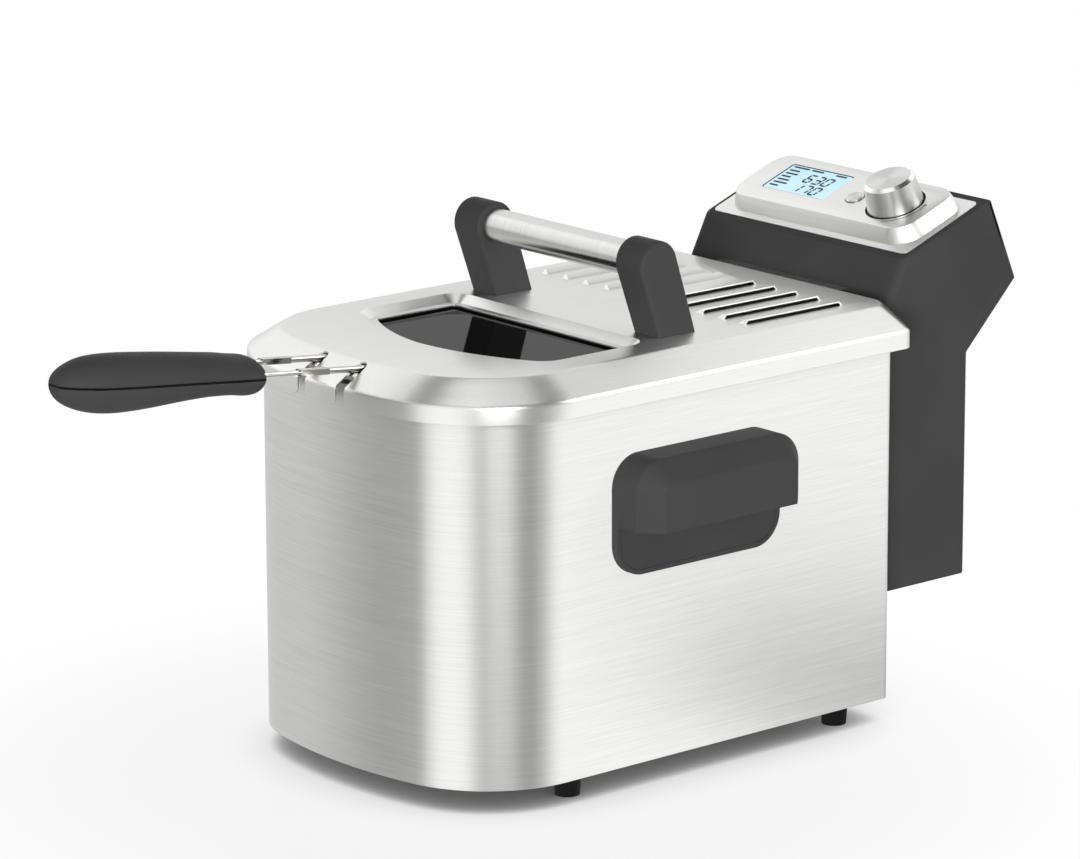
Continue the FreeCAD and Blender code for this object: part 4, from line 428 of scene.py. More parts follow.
FINISHES = {
    WALL_STEEL: ["outer_wall"],
    LID_STEEL: ["lid_cover"],
    TUBE_STEEL: ["lid_handle_tube"],
    PLATE_STEEL: ["face_plate", "console"],
    BOWL_STEEL: ["oil_bowl", "element_head", "lid_liner", "window_clamp", "filter_tray", "base_plate"],
    WIRE_STEEL: [
        "basket_floor_mesh", "basket_front_mesh", "basket_rear_mesh", "basket_left_mesh", "basket_right_mesh",
        "basket_rim_wire", "basket_base_wire", "basket_corner_wires", "basket_arms", "handle_rods"],
    ELEMENT_STEEL: ["heating_element", "temperature_probe"],
    SCREW_STEEL: [
        "side_handle_screws", "rail_screws", "pod_cover_screws", "handle_screw", "lid_post_screws",
        "knob_shaft", "thermal_cutout"],
    CHARCOAL: [
        "side_handle_right", "side_handle_left", "pod_front_shell", "pod_rear_cover", "handle_upper_half",
        "handle_lower_half", "lid_post_right", "lid_post_left", "pod_rails"],
    BLACK: [
        "display_module", "encoder_body", "encoder_rotor", "start_switch", "relay", "terminal_block",
        "interlock_switch"],
    RUBBER: ["feet", "cord_inlet", "window_gasket"],
    KNOB_METAL: ["knob"],
    BUTTON_METAL: ["start_button"],
    GLASS: ["window_glass"],
    ACRYLIC: ["display_lens"],
    FELT: ["odour_filter"],
    BOARD: ["control_board", "power_board"],
}


def finish_node(name, material):
    """A CAD piece shown as it is: its triangles joined, its curves smooth and its corners kept sharp."""
    piece = nodes[name]
    piece.data.materials.clear()
    piece.data.materials.append(material)
    piece.data.polygons.foreach_set("use_smooth", [True] * len(piece.data.polygons))
    joined = piece.modifiers.new("join triangles", "WELD")
    joined.merge_threshold = JOIN_DISTANCE
    corners = piece.modifiers.new("keep corners", "EDGE_SPLIT")
    corners.split_angle = SMOOTH_ANGLE


for finish, names in FINISHES.items():
    for node_name in names:
        finish_node(node_name, finish)
# The coarse brushing keeps no image of the dark handles that stand close to the wall
for node_name in ("side_handle_right", "side_handle_left"):
    nodes[node_name].visible_glossy = False


# Modelling helpers

def pick(piece):
    """Makes one piece the only selected object."""
    bpy.ops.object.select_all(action="DESELECT")
    piece.select_set(True)
    bpy.context.view_layer.objects.active = piece


def settle(piece, place=Matrix()):
    """Puts a piece's place into its mesh, so that the object sits unturned at the origin."""
    pick(piece)
    piece.matrix_world = place @ piece.matrix_world
    bpy.ops.object.transform_apply(location=True, rotation=True, scale=True)


def add_block(middle, size):
    bpy.ops.object.select_all(action="DESELECT")
    bpy.ops.mesh.primitive_cube_add(size=1, location=middle, scale=size)
    block = bpy.context.object
    settle(block)
    return block


def copy_to(piece, place):
    """A copy with its own mesh, put at a place."""
    pick(piece)
    bpy.ops.object.duplicate(linked=False)
    copy = bpy.context.object
    settle(copy, place)
    return copy


def join_as(name, pieces):
    pick(pieces[0])
    for piece in pieces:
        piece.select_set(True)
    bpy.ops.object.join()
    joined = bpy.context.object
    joined.name = name
    joined.data.name = name
    return joined


def apply_modifier(piece, kind, **settings):
    pick(piece)
    modifier = piece.modifiers.new(kind.lower(), kind)
    for name, value in settings.items():
        setattr(modifier, name, value)
    bpy.ops.object.modifier_apply(modifier=modifier.name)


def edit_faces(piece, chosen):
    """Opens a piece in edit mode with the faces selected whose middle and normal are chosen."""
    pick(piece)
    bpy.ops.object.mode_set(mode="EDIT")
    bpy.ops.mesh.select_mode(type="FACE")
    bpy.ops.mesh.select_all(action="DESELECT")
    bpy.ops.object.mode_set(mode="OBJECT")
    for face in piece.data.polygons:
        face.select = chosen(face.center, face.normal)
    bpy.ops.object.mode_set(mode="EDIT")


def edit_edges(piece, chosen):
    """Opens a piece in edit mode with the edges selected whose two ends are chosen."""
    pick(piece)
    bpy.ops.object.mode_set(mode="EDIT")
    bpy.ops.mesh.select_mode(type="EDGE")
    bpy.ops.mesh.select_all(action="DESELECT")
    bpy.ops.object.mode_set(mode="OBJECT")
    for edge in piece.data.edges:
        first, last = [piece.data.vertices[index].co for index in edge.vertices]
        edge.select = chosen(first, last)
    bpy.ops.object.mode_set(mode="EDIT")


def paint_selected(piece, slot):
    """Gives the selected faces one of the piece's materials and leaves edit mode."""
    piece.active_material_index = slot
    bpy.ops.object.material_slot_assign()
    bpy.ops.object.mode_set(mode="OBJECT")


def extrude_by(x, y, z):
    bpy.ops.mesh.extrude_region_move(TRANSFORM_OT_translate={"value": (x, y, z)})


def close_edit():
    """Leaves edit mode with every face pointing outwards."""
    bpy.ops.mesh.select_all(action="SELECT")
    bpy.ops.mesh.normals_make_consistent(inside=False)
    bpy.ops.object.mode_set(mode="OBJECT")


def dress(piece, material, body):
    piece.data.materials.clear()
    piece.data.materials.append(material)
    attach(piece, body)


# Display

def panel_box(name):
    """A node's lowest and highest corner along the panel's own axes."""
    points = [PANEL.inverted() @ vertex.co for vertex in nodes[name].data.vertices]
    low = Vector([min(point[axis] for point in points) for axis in range(3)])
    high = Vector([max(point[axis] for point in points) for axis in range(3)])
    return low, high


def round_upright_edges(piece, radius, segments):
    edit_edges(piece, lambda first, last: (first - last).normalized().z ** 2 > STRAIGHT)
    bpy.ops.mesh.bevel(offset=radius, segments=segments)
    bpy.ops.object.mode_set(mode="OBJECT")


def window_box():
    """The window in the console, across and up the panel, from the foot of the glass to its face."""
    low, high = panel_box("display_lens")
    lip = Vector((SCREEN_LIP, SCREEN_LIP, 0))
    return low + lip, high - lip


def make_screen():
    """The display bonded to its window: a dark stepped block with a lit face level with the console."""
    low = panel_box("display_module")[0]
    high = panel_box("display_lens")[1]
    shoulder = panel_box("console")[1].z - CONSOLE_SHEET
    high_shoulder = Vector((high.x, high.y, shoulder))
    base = add_block((low + high_shoulder) / 2, high_shoulder - low)
    face_low, face_high = window_box()
    gap = Vector((SCREEN_GAP, SCREEN_GAP, 0))
    face_low.z = shoulder
    face = add_block((face_low + face_high) / 2, face_high - face_low - 2 * gap)
    round_upright_edges(face, SCREEN_CORNER, SCREEN_CORNER_STEPS)
    screen = join_as("display_screen", [base, face])
    dress(screen, BLACK, "pod")
    screen.data.materials.append(LCD)
    edit_faces(screen, lambda middle, normal: normal.z > STRAIGHT and middle.z > face_high.z - SCREEN_GAP)
    bpy.ops.mesh.inset(thickness=SCREEN_FRAME)
    paint_selected(screen, 1)
    settle(screen, PANEL)
    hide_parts("display_module", "display_lens")


def make_bar(start, end, stroke, level):
    """One dark bar of the display, with its ends drawn to blunt points."""
    along = end - start
    bar = add_block((0, 0, INK_HEIGHT / 2), (along.length + stroke * BAR_OVERRUN, stroke, INK_HEIGHT))
    round_upright_edges(bar, stroke * BAR_POINT, 1)
    middle = (start + end) / 2
    turn = Matrix.Rotation(math.atan2(along.y, along.x), 4, "Z")
    settle(bar, Matrix.Translation((middle.x, middle.y, level)) @ turn)
    return bar


# Where the seven strokes of a figure run, in widths and half heights, and the strokes of each figure
STROKE_ENDS = {
    "a": ((0, 2), (1, 2)), "b": ((1, 2), (1, 1)), "c": ((1, 1), (1, 0)), "d": ((0, 0), (1, 0)),
    "e": ((0, 1), (0, 0)), "f": ((0, 2), (0, 1)), "g": ((0, 1), (1, 1))}
FIGURES = {"0": "abcdef", "1": "bc", "3": "abcdg", "6": "acdefg", "7": "abc"}


def make_figure(figure, corner, level):
    """One seven-stroke figure that leans a little, from its lower left corner."""
    bars = []
    for stroke in FIGURES[figure]:
        ends = []
        for across, up in STROKE_ENDS[stroke]:
            rise = up * DIGIT_HEIGHT / 2
            ends.append(corner + Vector((across * DIGIT_WIDTH + rise * math.tan(DIGIT_SLANT), rise)))
        inward = (ends[1] - ends[0]).normalized() * DIGIT_END_GAP
        bars.append(make_bar(ends[0] + inward, ends[1] - inward, DIGIT_STROKE, level))
    return bars


def make_figures():
    """Two plain numbers on the display, with a list of short dashes beside them."""
    low, high = window_box()
    level = high.z
    bars = []
    for number, base in NUMBER_BASES.items():
        for index, figure in enumerate(number):
            corner = Vector((low.x + NUMBERS_LEFT + index * DIGIT_PITCH, low.y + base))
            bars += make_figure(figure, corner, level)
    for row, length in enumerate(LIST_LENGTHS):
        start = Vector((low.x + LIST_LEFT, high.y - LIST_TOP - row * LIST_PITCH))
        bars.append(make_bar(start, start + Vector((length * MM, 0)), LIST_STROKE, level))
    for left, length in ROW_DASHES:
        start = Vector((low.x + left * MM, high.y - ROW_TOP))
        bars.append(make_bar(start, start + Vector((length * MM, 0)), LIST_STROKE, level))
    figures = join_as("display_figures", bars)
    settle(figures, PANEL)
    dress(figures, LCD_INK, "pod")


def make_knob_arc():
    """A plain arc with an arrow head at its end, printed on the console round the knob."""
    knob = PANEL.inverted() @ KNOB_PLACE
    knob.z = panel_box("console")[1].z
    finish = ARC_START + ARC_TURN
    tip = knob + ARC_RADIUS * Vector((math.cos(finish), math.sin(finish), 0))
    bpy.ops.object.select_all(action="DESELECT")
    bpy.ops.mesh.primitive_circle_add(
        vertices=3, radius=ARROW_RADIUS, fill_type="NGON", location=tip, rotation=(0, 0, finish))
    arrow = bpy.context.object
    settle(arrow)
    start = knob + ARC_RADIUS * Vector((math.cos(ARC_START), math.sin(ARC_START), 0))
    bpy.ops.object.select_all(action="DESELECT")
    bpy.ops.mesh.primitive_plane_add(size=ARC_STROKE, location=start, rotation=(0, 0, ARC_START))
    band = bpy.context.object
    settle(band)
    ahead = Vector((-math.sin(ARC_START), math.cos(ARC_START), 0))
    edit_edges(band, lambda first, last: ((first + last) / 2 - start).dot(ahead) > ARC_STROKE / 4)
    bpy.ops.mesh.spin(steps=ARC_STEPS, angle=-ARC_TURN, center=knob, axis=(0, 0, 1))
    bpy.ops.mesh.select_all(action="SELECT")
    bpy.ops.mesh.remove_doubles(threshold=ARC_JOIN)
    bpy.ops.mesh.normals_make_consistent(inside=False)
    bpy.ops.object.mode_set(mode="OBJECT")
    arc = join_as("knob_arc", [band, arrow])
    apply_modifier(arc, "SOLIDIFY", thickness=INK_HEIGHT, offset=1)
    settle(arc, PANEL)
    dress(arc, MARK_INK, "pod")


# Console and knob

def add_round_cutter(place, radius, low, high):
    bpy.ops.object.select_all(action="DESELECT")
    bpy.ops.mesh.primitive_cylinder_add(
        vertices=HOLE_SIDES, radius=radius, depth=high - low, location=(place.x, place.y, (low + high) / 2))
    cutter = bpy.context.object
    settle(cutter)
    return cutter


def make_console():
    """The raised console: straight drafted walls, a crisp edge, a window, a button hole and a knob well."""
    low, high = panel_box("console")
    middle = (low + high) / 2
    size = high - low
    bpy.ops.object.select_all(action="DESELECT")
    bpy.ops.mesh.primitive_plane_add(size=1, location=(middle.x, middle.y, low.z))
    shell = bpy.context.object
    shell.name = "console_cover"
    shell.scale = (size.x, size.y, 1)
    settle(shell)
    bpy.ops.object.mode_set(mode="EDIT")
    bpy.ops.mesh.select_all(action="SELECT")
    bpy.ops.mesh.bevel(offset=CONSOLE_CORNER, segments=CONSOLE_CORNER_STEPS, affect="VERTICES")
    bpy.ops.mesh.select_mode(type="FACE")
    bpy.ops.mesh.select_all(action="SELECT")
    bpy.ops.mesh.inset(thickness=CONSOLE_DRAFT, depth=size.z)
    bpy.ops.mesh.bevel(offset=CONSOLE_EDGE, segments=CONSOLE_EDGE_STEPS)
    bpy.ops.object.mode_set(mode="OBJECT")
    apply_modifier(shell, "SOLIDIFY", thickness=CONSOLE_SHEET, offset=-1)
    button_low, button_high = panel_box("start_button")
    button = (button_low + button_high) / 2
    knob = PANEL.inverted() @ KNOB_PLACE
    window_low, window_high = window_box()
    over = high.z + CONSOLE_SHEET
    window_low.z = low.z
    window_high.z = over
    window = add_block((window_low + window_high) / 2, window_high - window_low)
    round_upright_edges(window, SCREEN_CORNER, SCREEN_CORNER_STEPS)
    cutters = [
        window,
        add_round_cutter(button, BUTTON_HOLE, low.z, over),
        add_round_cutter(knob, SHAFT_HOLE, low.z, over),
        add_round_cutter(knob, KNOB_WELL, high.z - KNOB_WELL_DEPTH, over)]
    dress(shell, PLATE_STEEL, "pod")
    # The cut walls and the floor of the knob well take the black material: painted shade in the well round
    # the knob's foot; the window and the holes get black cut edges too
    for cutter in cutters:
        cutter.data.materials.append(BLACK)
        apply_modifier(
            shell, "BOOLEAN", object=cutter, operation="DIFFERENCE", solver="EXACT", material_mode="TRANSFER")
        bpy.data.objects.remove(cutter)
    pick(shell)
    bpy.ops.object.shade_smooth_by_angle(angle=SMOOTH_ANGLE)
    settle(shell, PANEL)
    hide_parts("console")


def make_knob():
    """The turned knob: wider at its foot, with a diamond-cut chamfer round a flat crown."""
    top = panel_box("knob")[1].z
    foot = panel_box("console")[1].z
    knob_axis = PANEL.inverted() @ KNOB_PLACE
    shoulder = top - KNOB_CHAMFER
    bpy.ops.object.select_all(action="DESELECT")
    bpy.ops.mesh.primitive_cylinder_add(
        vertices=KNOB_SIDES, radius=KNOB_FOOT, depth=shoulder - foot,
        location=(knob_axis.x, knob_axis.y, (shoulder + foot) / 2))
    knob = bpy.context.object
    knob.name = "select_knob_turned"
    settle(knob)
    for metal in (SHADED_FLANK_METAL, CHAMFER_METAL, KNOB_METAL):
        knob.data.materials.append(metal)
    edit_faces(knob, lambda middle, normal: normal.z > STRAIGHT)
    taper = KNOB_CROWN / KNOB_FOOT
    bpy.ops.transform.resize(value=(taper, taper, 1), center_override=(knob_axis.x, knob_axis.y, shoulder))
    bpy.ops.mesh.inset(thickness=KNOB_CHAMFER, depth=KNOB_CHAMFER)
    paint_selected(knob, 2)
    edit_faces(knob, lambda middle, normal: CHAMFER_TILT < normal.z < STRAIGHT)
    paint_selected(knob, 1)
    edit_faces(knob, lambda middle, normal: normal.z < -STRAIGHT)
    bpy.ops.mesh.inset(thickness=KNOB_WALL)
    extrude_by(0, 0, KNOB_UNDERCUT)
    close_edit()
    bpy.ops.object.shade_smooth_by_angle(angle=SMOOTH_ANGLE)
    settle(knob, PANEL)
    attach(knob, "select_knob")
    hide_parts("knob")


# Basket panels

def make_wire(length, pitch, phase):
    """One woven wire along x, which goes over and under a crossing wire at each pitch."""
    bpy.ops.object.select_all(action="DESELECT")
    lift = WEAVE_WIRE * (1 if phase else -1)
    bpy.ops.mesh.primitive_circle_add(
        vertices=WEAVE_SIDES, radius=WEAVE_WIRE, fill_type="NGON", location=(0, 0, 0),
        rotation=(0, math.pi / 2, 0))
    wire = bpy.context.object
    settle(wire)
    bpy.ops.object.mode_set(mode="EDIT")
    bpy.ops.mesh.select_mode(type="FACE")
    bpy.ops.mesh.select_all(action="SELECT")
    extrude_by(pitch / 2, 0, lift)
    for crossing in range(round(length / pitch) - 1):
        lift = -lift
        extrude_by(pitch, 0, 2 * lift)
    extrude_by(pitch / 2, 0, -lift)
    close_edit()
    return wire


def make_wires(length, width):
    """A layer of wires along x, side by side along y, every other one half a wave on."""
    pitch = length / round(length / WEAVE_PITCH)
    count = round(width / WEAVE_PITCH)
    spacing = width / count
    layer = []
    for phase in (0, 1):
        wire = make_wire(length, pitch, phase)
        settle(wire, Matrix.Translation((0, (phase + 0.5) * spacing, 0)))
        copies = (count - phase + 1) // 2
        apply_modifier(
            wire, "ARRAY", count=copies, use_relative_offset=False, use_constant_offset=True,
            constant_offset_displace=(0, 2 * spacing, 0))
        layer.append(wire)
    return layer


def make_woven_panel(node, across, up):
    """A woven panel in place of a basket wall: across and up are its two directions in the basket."""
    low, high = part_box(node)
    size = high - low
    width = abs(size.dot(across))
    height = abs(size.dot(up))
    wires = make_wires(width, height)
    turn = Matrix(((0, 1, 0), (1, 0, 0), (0, 0, 1))).to_4x4()
    for wire in make_wires(height, width):
        settle(wire, turn)
        wires.append(wire)
    panel = join_as(node.replace("mesh", "weave"), wires)
    facing = across.cross(up)
    middle = (low + high) / 2
    corner = middle - across * width / 2 - up * height / 2
    settle(panel, Matrix.Translation(corner) @ Matrix((across, up, facing)).transposed().to_4x4())
    bpy.ops.object.mode_set(mode="EDIT")
    close_edit()
    bpy.ops.object.shade_smooth_by_angle(angle=WEAVE_SMOOTH)
    dress(panel, WIRE_STEEL, "basket")
    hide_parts(node)


# Basket grip

def make_grip_seam():
    """Painted shadow in the seam of the basket grip: a thin black band along the edge of its lower half."""
    half = nodes["handle_lower_half"]
    parting = max(half.data.polygons, key=lambda face: face.area)
    seam = bpy.data.objects.new("grip_seam_painted_shadow", half.data.copy())
    bpy.context.collection.objects.link(seam)
    up = parting.normal.copy()
    top = parting.center - up * SEAM_SKIN
    pick(seam)
    bpy.ops.object.mode_set(mode="EDIT")
    for level, side in ((top, {"clear_outer": True}), (top - up * SEAM_HEIGHT, {"clear_inner": True})):
        bpy.ops.mesh.select_all(action="SELECT")
        bpy.ops.mesh.remove_doubles(threshold=JOIN_DISTANCE)
        bpy.ops.mesh.bisect(plane_co=level, plane_no=up, **side)
    bpy.ops.object.mode_set(mode="OBJECT")
    apply_modifier(seam, "SOLIDIFY", thickness=SEAM_SKIN, offset=1)
    dress(seam, BLACK, "basket")


# Screws

def make_screw(length):
    """A pan-head screw with a cross recess: its head stands on z = 0 and its shank runs down."""
    bpy.ops.object.select_all(action="DESELECT")
    bpy.ops.mesh.primitive_cylinder_add(
        vertices=SCREW_SIDES, radius=SCREW_HEAD, depth=SCREW_HEAD_HEIGHT,
        location=(0, 0, SCREW_HEAD_HEIGHT / 2))
    screw = bpy.context.object
    settle(screw)
    edit_faces(screw, lambda middle, normal: normal.z > STRAIGHT)
    bpy.ops.mesh.bevel(offset=SCREW_DOME, segments=SCREW_DOME_STEPS)
    bpy.ops.object.mode_set(mode="OBJECT")
    edit_faces(screw, lambda middle, normal: normal.z < -STRAIGHT)
    bpy.ops.mesh.inset(thickness=SCREW_HEAD - SCREW_SHANK)
    extrude_by(0, 0, -length)
    close_edit()
    blades = []
    for size in ((2 * RECESS_REACH, RECESS_WIDTH), (RECESS_WIDTH, 2 * RECESS_REACH)):
        blades.append(add_block((0, 0, SCREW_HEAD_HEIGHT), (size[0], size[1], 2 * RECESS_DEPTH)))
    for blade in blades:
        apply_modifier(screw, "BOOLEAN", object=blade, operation="DIFFERENCE", solver="EXACT")
        bpy.data.objects.remove(blade)
    pick(screw)
    bpy.ops.object.shade_smooth_by_angle(angle=SCREW_SMOOTH)
    return screw


def make_screws(name, node, body, seats, head_way, length):
    """Copies of one screw on their seats, with their heads facing head_way."""
    pattern = make_screw(length)
    turn = UP.rotation_difference(head_way).to_matrix().to_4x4()
    copies = [copy_to(pattern, Matrix.Translation(seat) @ turn) for seat in seats]
    bpy.data.objects.remove(pattern)
    screws = join_as(name, copies)
    dress(screws, SCREW_STEEL, body)
    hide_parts(node)


make_screen()
make_figures()
make_console()
make_knob_arc()
make_knob()
make_woven_panel("basket_floor_mesh", ACROSS, BACK)
for wall in ("basket_front_mesh", "basket_rear_mesh"):
    make_woven_panel(wall, ACROSS, UP)
for wall in ("basket_left_mesh", "basket_right_mesh"):
    make_woven_panel(wall, BACK, UP)
make_grip_seam()

low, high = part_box("pod_cover_screws")
cover_seats = [
    Vector((x, high.y - SCREW_HEAD_HEIGHT, z))
    for x in (low.x + SCREW_HEAD, high.x - SCREW_HEAD) for z in (low.z + SCREW_HEAD, high.z - SCREW_HEAD)]
make_screws(
    "cover_screws", "pod_cover_screws", "pod", cover_seats, BACK, high.y - low.y - SCREW_HEAD_HEIGHT)
low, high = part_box("lid_post_screws")
post_seats = [
    Vector((x, y, low.z + SCREW_HEAD_HEIGHT))
    for x in (low.x + SCREW_HEAD, high.x - SCREW_HEAD) for y in (low.y + SCREW_HEAD, high.y - SCREW_HEAD)]
make_screws("post_screws", "lid_post_screws", "lid", post_seats, -UP, high.z - low.z - SCREW_HEAD_HEIGHT)


# Floor, world, lamps and camera

def studio_stops(levels):
    """Ramp stops from (azimuth in degrees, grey level), azimuth 0 towards -Y and 90 towards +X."""
    stops = [((azimuth / 360 + 0.25) % 1.0, grey(level)) for azimuth, level in levels]
    return sorted(stops)


# White cards and dark gaps round the studio, as the steel mirrors them: low ones, and those over the fryer
LOW_CARDS = [
    (-130, 0.76), (-60, 0.76), (-48, 0.6), (-38, 0.46), (-24, 0.54), (-18, 0.62), (-8, 1.15), (2, 1.4),
    (20, 1.4), (30, 1.27), (39, 0.8), (47, 0.45), (95, 0.45), (108, 0.87), (120, 1.42), (134, 1.46),
    (146, 1.2), (200, 0.8)]
HIGH_CARDS = [
    (-170, 1.3), (-150, 1.1), (-130, 1.0), (-110, 1.2), (-70, 1.5), (-50, 1.2), (-40, 0.95), (-20, 0.62),
    (-8, 0.95), (2, 1.25), (40, 1.2), (60, 0.6), (90, 0.4), (125, 0.3), (142, 1.1)]
# Between these heights (sines of the elevation) the low cards give way to those over the fryer
CARDS_MEET = (-0.12, 0.18)
# The gap between the cards and the overhead softbox, by height (the sine of the elevation)
OVERHEAD_GAP = [(0.76, 0.0), (0.82, 0.9), (0.90, 0.9), (0.95, 0.0)]
GAP_LEVEL = 0.1
# Soft light that reaches matt surfaces, by height in the same way: more from the walls than from above
SOFT_LIGHT = [(0.0, 0.16), (0.35, 0.1), (0.8, 0.05)]


def make_world():
    world = bpy.data.worlds.new("studio")
    bpy.context.scene.world = world
    world.use_nodes = True
    tree = world.node_tree
    tree.nodes.clear()
    direction = add_node(tree, "ShaderNodeTexCoord").outputs["Generated"]
    turn = add_node(tree, "ShaderNodeTexGradient", {"gradient_type": "RADIAL"}, {"Vector": direction})
    low_cards = add_node(tree, "ShaderNodeValToRGB", sockets={"Fac": turn.outputs["Fac"]})
    set_stops(low_cards, studio_stops(LOW_CARDS))
    high_cards = add_node(tree, "ShaderNodeValToRGB", sockets={"Fac": turn.outputs["Fac"]})
    set_stops(high_cards, studio_stops(HIGH_CARDS))
    rise = add_node(tree, "ShaderNodeSeparateXYZ", sockets={0: direction})
    above = add_node(tree, "ShaderNodeMapRange", {"interpolation_type": "SMOOTHSTEP"}, {
        "Value": rise.outputs["Z"], "From Min": CARDS_MEET[0], "From Max": CARDS_MEET[1]})
    cards = add_node(tree, "ShaderNodeMix", {"data_type": "RGBA"}, {
        0: above.outputs["Result"], 6: low_cards.outputs["Color"], 7: high_cards.outputs["Color"]})
    gap = add_node(tree, "ShaderNodeValToRGB", sockets={"Fac": rise.outputs["Z"]})
    set_stops(gap, [(height, grey(share)) for height, share in OVERHEAD_GAP])
    studio = add_node(tree, "ShaderNodeMix", {"data_type": "RGBA"}, {
        0: gap.outputs["Color"], 6: cards.outputs[2], 7: grey(GAP_LEVEL)})
    soft = add_node(tree, "ShaderNodeValToRGB", sockets={"Fac": rise.outputs["Z"]})
    set_stops(soft, [(height, grey(level)) for height, level in SOFT_LIGHT])
    rays = add_node(tree, "ShaderNodeLightPath")
    lit = add_node(tree, "ShaderNodeMix", {"data_type": "RGBA"}, {
        0: rays.outputs["Is Glossy Ray"], 6: soft.outputs["Color"], 7: studio.outputs[2]})
    seen = add_node(tree, "ShaderNodeMix", {"data_type": "RGBA"}, {
        0: rays.outputs["Is Camera Ray"], 6: lit.outputs[2], 7: grey(1.0)})
    back = add_node(tree, "ShaderNodeBackground", sockets={"Color": seen.outputs[2], "Strength": 1.0})
    add_node(tree, "ShaderNodeOutputWorld", sockets={"Surface": back.outputs["Background"]})


# Floor: its size, its middle from the middle of the housing, and its matt paint
FLOOR_SIZE = 40
FLOOR_MIDDLE = Vector((0.03, -0.07, -0.1 * MM))
FLOOR_LEVEL = 0.6
# Painted contact shadow, mixed with a little real shading: how near the fryer it starts, its share in the
# floor's look, and where the floor turns white
CONTACT_REACH = 70 * MM
CONTACT_SHARE = 0.88
CONTACT_TONES = [(0.0, "#1c1c1c"), (0.3, "#979797"), (0.55, "#ebebeb"), (0.78, "#ffffff")]
WHITE_FROM = 0.17
WHITE_BEYOND = 0.38
# Middle of a painted shade on the floor beside the far end of the fryer, seen only by mirrored rays, which
# the flat side mirrors; its inner and outer radius, and how dark it is
SIDE_SHADE = Vector((0.17, 0.30, 0))
SHADE_INNER = 0.06
SHADE_OUTER = 0.22
SHADE_LEVEL = 0.55


def floor_paint():
    """Matt white sweep: close to the fryer a painted soft shadow mixed with a little real shading, and plain
    white further off.
    """
    material, tree = start_material("studio_floor_matt_white")
    place = add_node(tree, "ShaderNodeTexCoord").outputs["Object"]
    matt = add_node(tree, "ShaderNodeBsdfDiffuse", sockets={"Color": grey(FLOOR_LEVEL)})
    # Painted contact shadow: an emission that darkens where the fryer closes the floor in
    close = add_node(tree, "ShaderNodeAmbientOcclusion", {"samples": 16}, {"Distance": CONTACT_REACH})
    shade = add_node(tree, "ShaderNodeValToRGB", sockets={"Fac": close.outputs["AO"]})
    set_stops(shade, [(open_share, linear(tone)) for open_share, tone in CONTACT_TONES])
    contact = add_node(tree, "ShaderNodeEmission", sockets={"Color": shade.outputs["Color"], "Strength": 1.0})
    soft = add_node(tree, "ShaderNodeMixShader", sockets={
        0: CONTACT_SHARE, 1: matt.outputs["BSDF"], 2: contact.outputs["Emission"]})
    white = add_node(tree, "ShaderNodeEmission", sockets={"Color": grey(1.0), "Strength": 1.0})
    reach = add_node(tree, "ShaderNodeVectorMath", {"operation": "LENGTH"}, {0: place})
    far = add_node(tree, "ShaderNodeMapRange", {"interpolation_type": "SMOOTHSTEP"}, {
        "Value": reach.outputs["Value"], "From Min": WHITE_FROM, "From Max": WHITE_BEYOND})
    seen = add_node(tree, "ShaderNodeMixShader", sockets={
        0: far.outputs["Result"], 1: soft.outputs["Shader"], 2: white.outputs["Emission"]})
    # Painted shade: mirrored rays see through the floor, darkened round the side shade
    from_shade = add_node(tree, "ShaderNodeVectorMath", {"operation": "DISTANCE"}, {0: place, 1: SIDE_SHADE})
    painted_side_shade = add_node(tree, "ShaderNodeMapRange", {"interpolation_type": "SMOOTHSTEP"}, {
        "Value": from_shade.outputs["Value"], "From Min": SHADE_INNER, "From Max": SHADE_OUTER,
        "To Min": SHADE_LEVEL, "To Max": 1.0})
    mirrored = add_node(tree, "ShaderNodeBsdfTransparent", sockets={"Color": painted_side_shade.outputs["Result"]})
    rays = add_node(tree, "ShaderNodeLightPath")
    glossy_or_not = add_node(tree, "ShaderNodeMixShader", sockets={
        0: rays.outputs["Is Glossy Ray"], 1: matt.outputs["BSDF"], 2: mirrored.outputs["BSDF"]})
    camera_or_not = add_node(tree, "ShaderNodeMixShader", sockets={
        0: rays.outputs["Is Camera Ray"], 1: glossy_or_not.outputs["Shader"], 2: seen.outputs["Shader"]})
    add_node(tree, "ShaderNodeOutputMaterial", sockets={"Surface": camera_or_not.outputs["Shader"]})
    return material


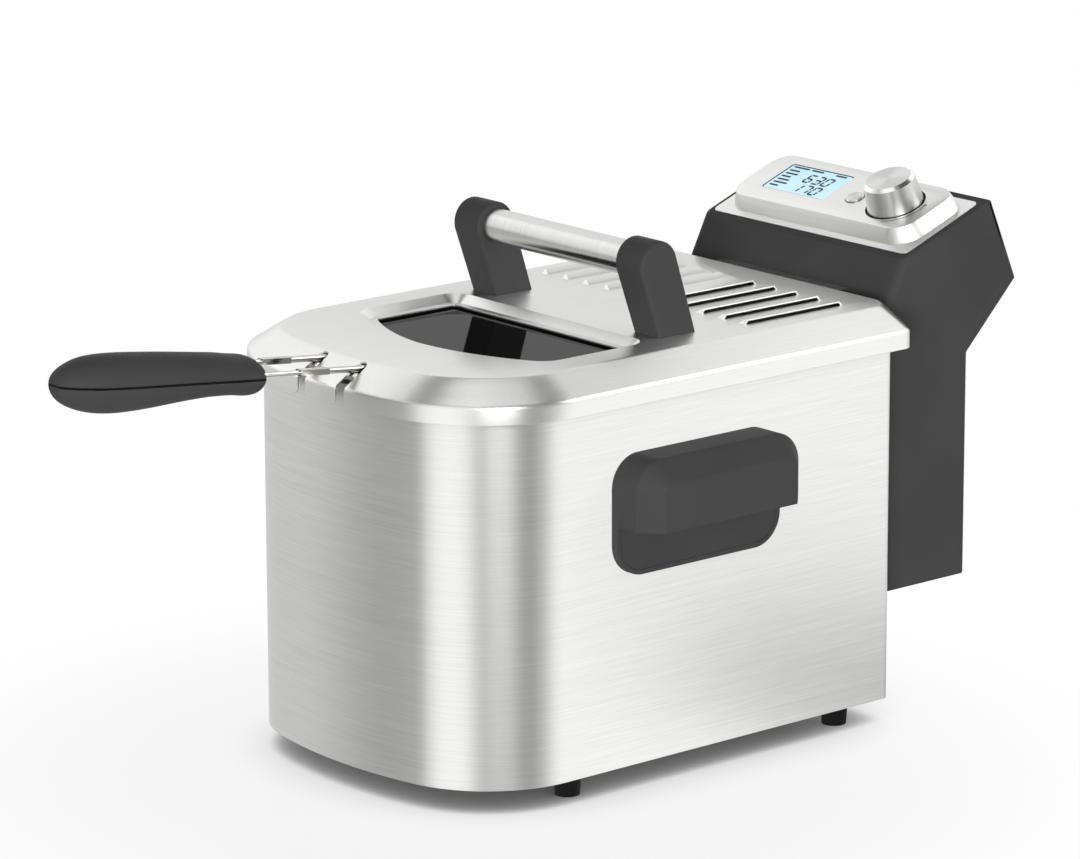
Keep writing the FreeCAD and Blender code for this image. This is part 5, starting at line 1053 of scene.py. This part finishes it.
def make_floor():
    bpy.ops.object.select_all(action="DESELECT")
    bpy.ops.mesh.primitive_plane_add(size=FLOOR_SIZE, location=BODY_MIDDLE + FLOOR_MIDDLE)
    floor = bpy.context.object
    floor.name = "studio_floor"
    floor.data.materials.append(floor_paint())
    floor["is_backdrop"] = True


def add_lamp(name, place, target, size, power):
    bpy.ops.object.light_add(type="AREA", location=place)
    lamp = bpy.context.object
    lamp.name = name
    lamp.data.shape = "RECTANGLE"
    lamp.data.size = size[0]
    lamp.data.size_y = size[1]
    lamp.data.energy = power
    lamp.rotation_euler = (Vector(target) - Vector(place)).to_track_quat("-Z", "Y").to_euler()
    return lamp


def make_camera():
    azimuth = math.radians(CAMERA_AZIMUTH)
    elevation = math.radians(CAMERA_ELEVATION)
    roll = math.radians(CAMERA_ROLL)
    outward = Vector((math.sin(azimuth), -math.cos(azimuth), 0))
    back = math.cos(elevation) * outward + math.sin(elevation) * UP
    level = Vector((math.cos(azimuth), math.sin(azimuth), 0))
    above = back.cross(level)
    right = math.cos(roll) * level + math.sin(roll) * above
    up = math.cos(roll) * above - math.sin(roll) * level
    place = BODY_MIDDLE + CAMERA_DISTANCE * back + CAMERA_ASIDE * level + CAMERA_ABOVE * above
    bpy.ops.object.camera_add()
    camera = bpy.context.object
    camera.matrix_world = Matrix.Translation(place) @ Matrix((right, up, back)).transposed().to_4x4()
    camera.data.sensor_width = SENSOR_WIDTH
    camera.data.lens = SENSOR_WIDTH * FOCAL_PIXELS / PHOTO_WIDTH
    camera.data.clip_end = CAMERA_SIGHT
    bpy.context.scene.camera = camera


make_world()
make_floor()
add_lamp("overhead softbox", (0.2, -0.3, 2.0), (0, 0, 0.1), (1.6, 1.6), 1.5)
front_softbox = add_lamp("front softbox", (2.5, -2.25, 0.55), (0, 0, 0.12), (1.2, 0.8), 88)
back_softbox = add_lamp("back softbox", (-2.4, 2.1, 0.7), (0, 0, 0.12), (1.2, 0.8), 80)
side_softbox = add_lamp("side softbox", (2.5, -1.35, 0.95), (0, 0, 0.12), (1.4, 1.0), 36)
# The front and back softboxes model the matt plastic, and the steel mirrors the side one
front_softbox.visible_glossy = False
back_softbox.visible_glossy = False
side_softbox.visible_diffuse = False
add_lamp("rim softbox", (1.4, 1.4, 1.3), (0, 0, 0.15), (1.0, 1.0), 10)
make_camera()
bpy.context.scene.view_settings.view_transform = "Standard"

low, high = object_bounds()
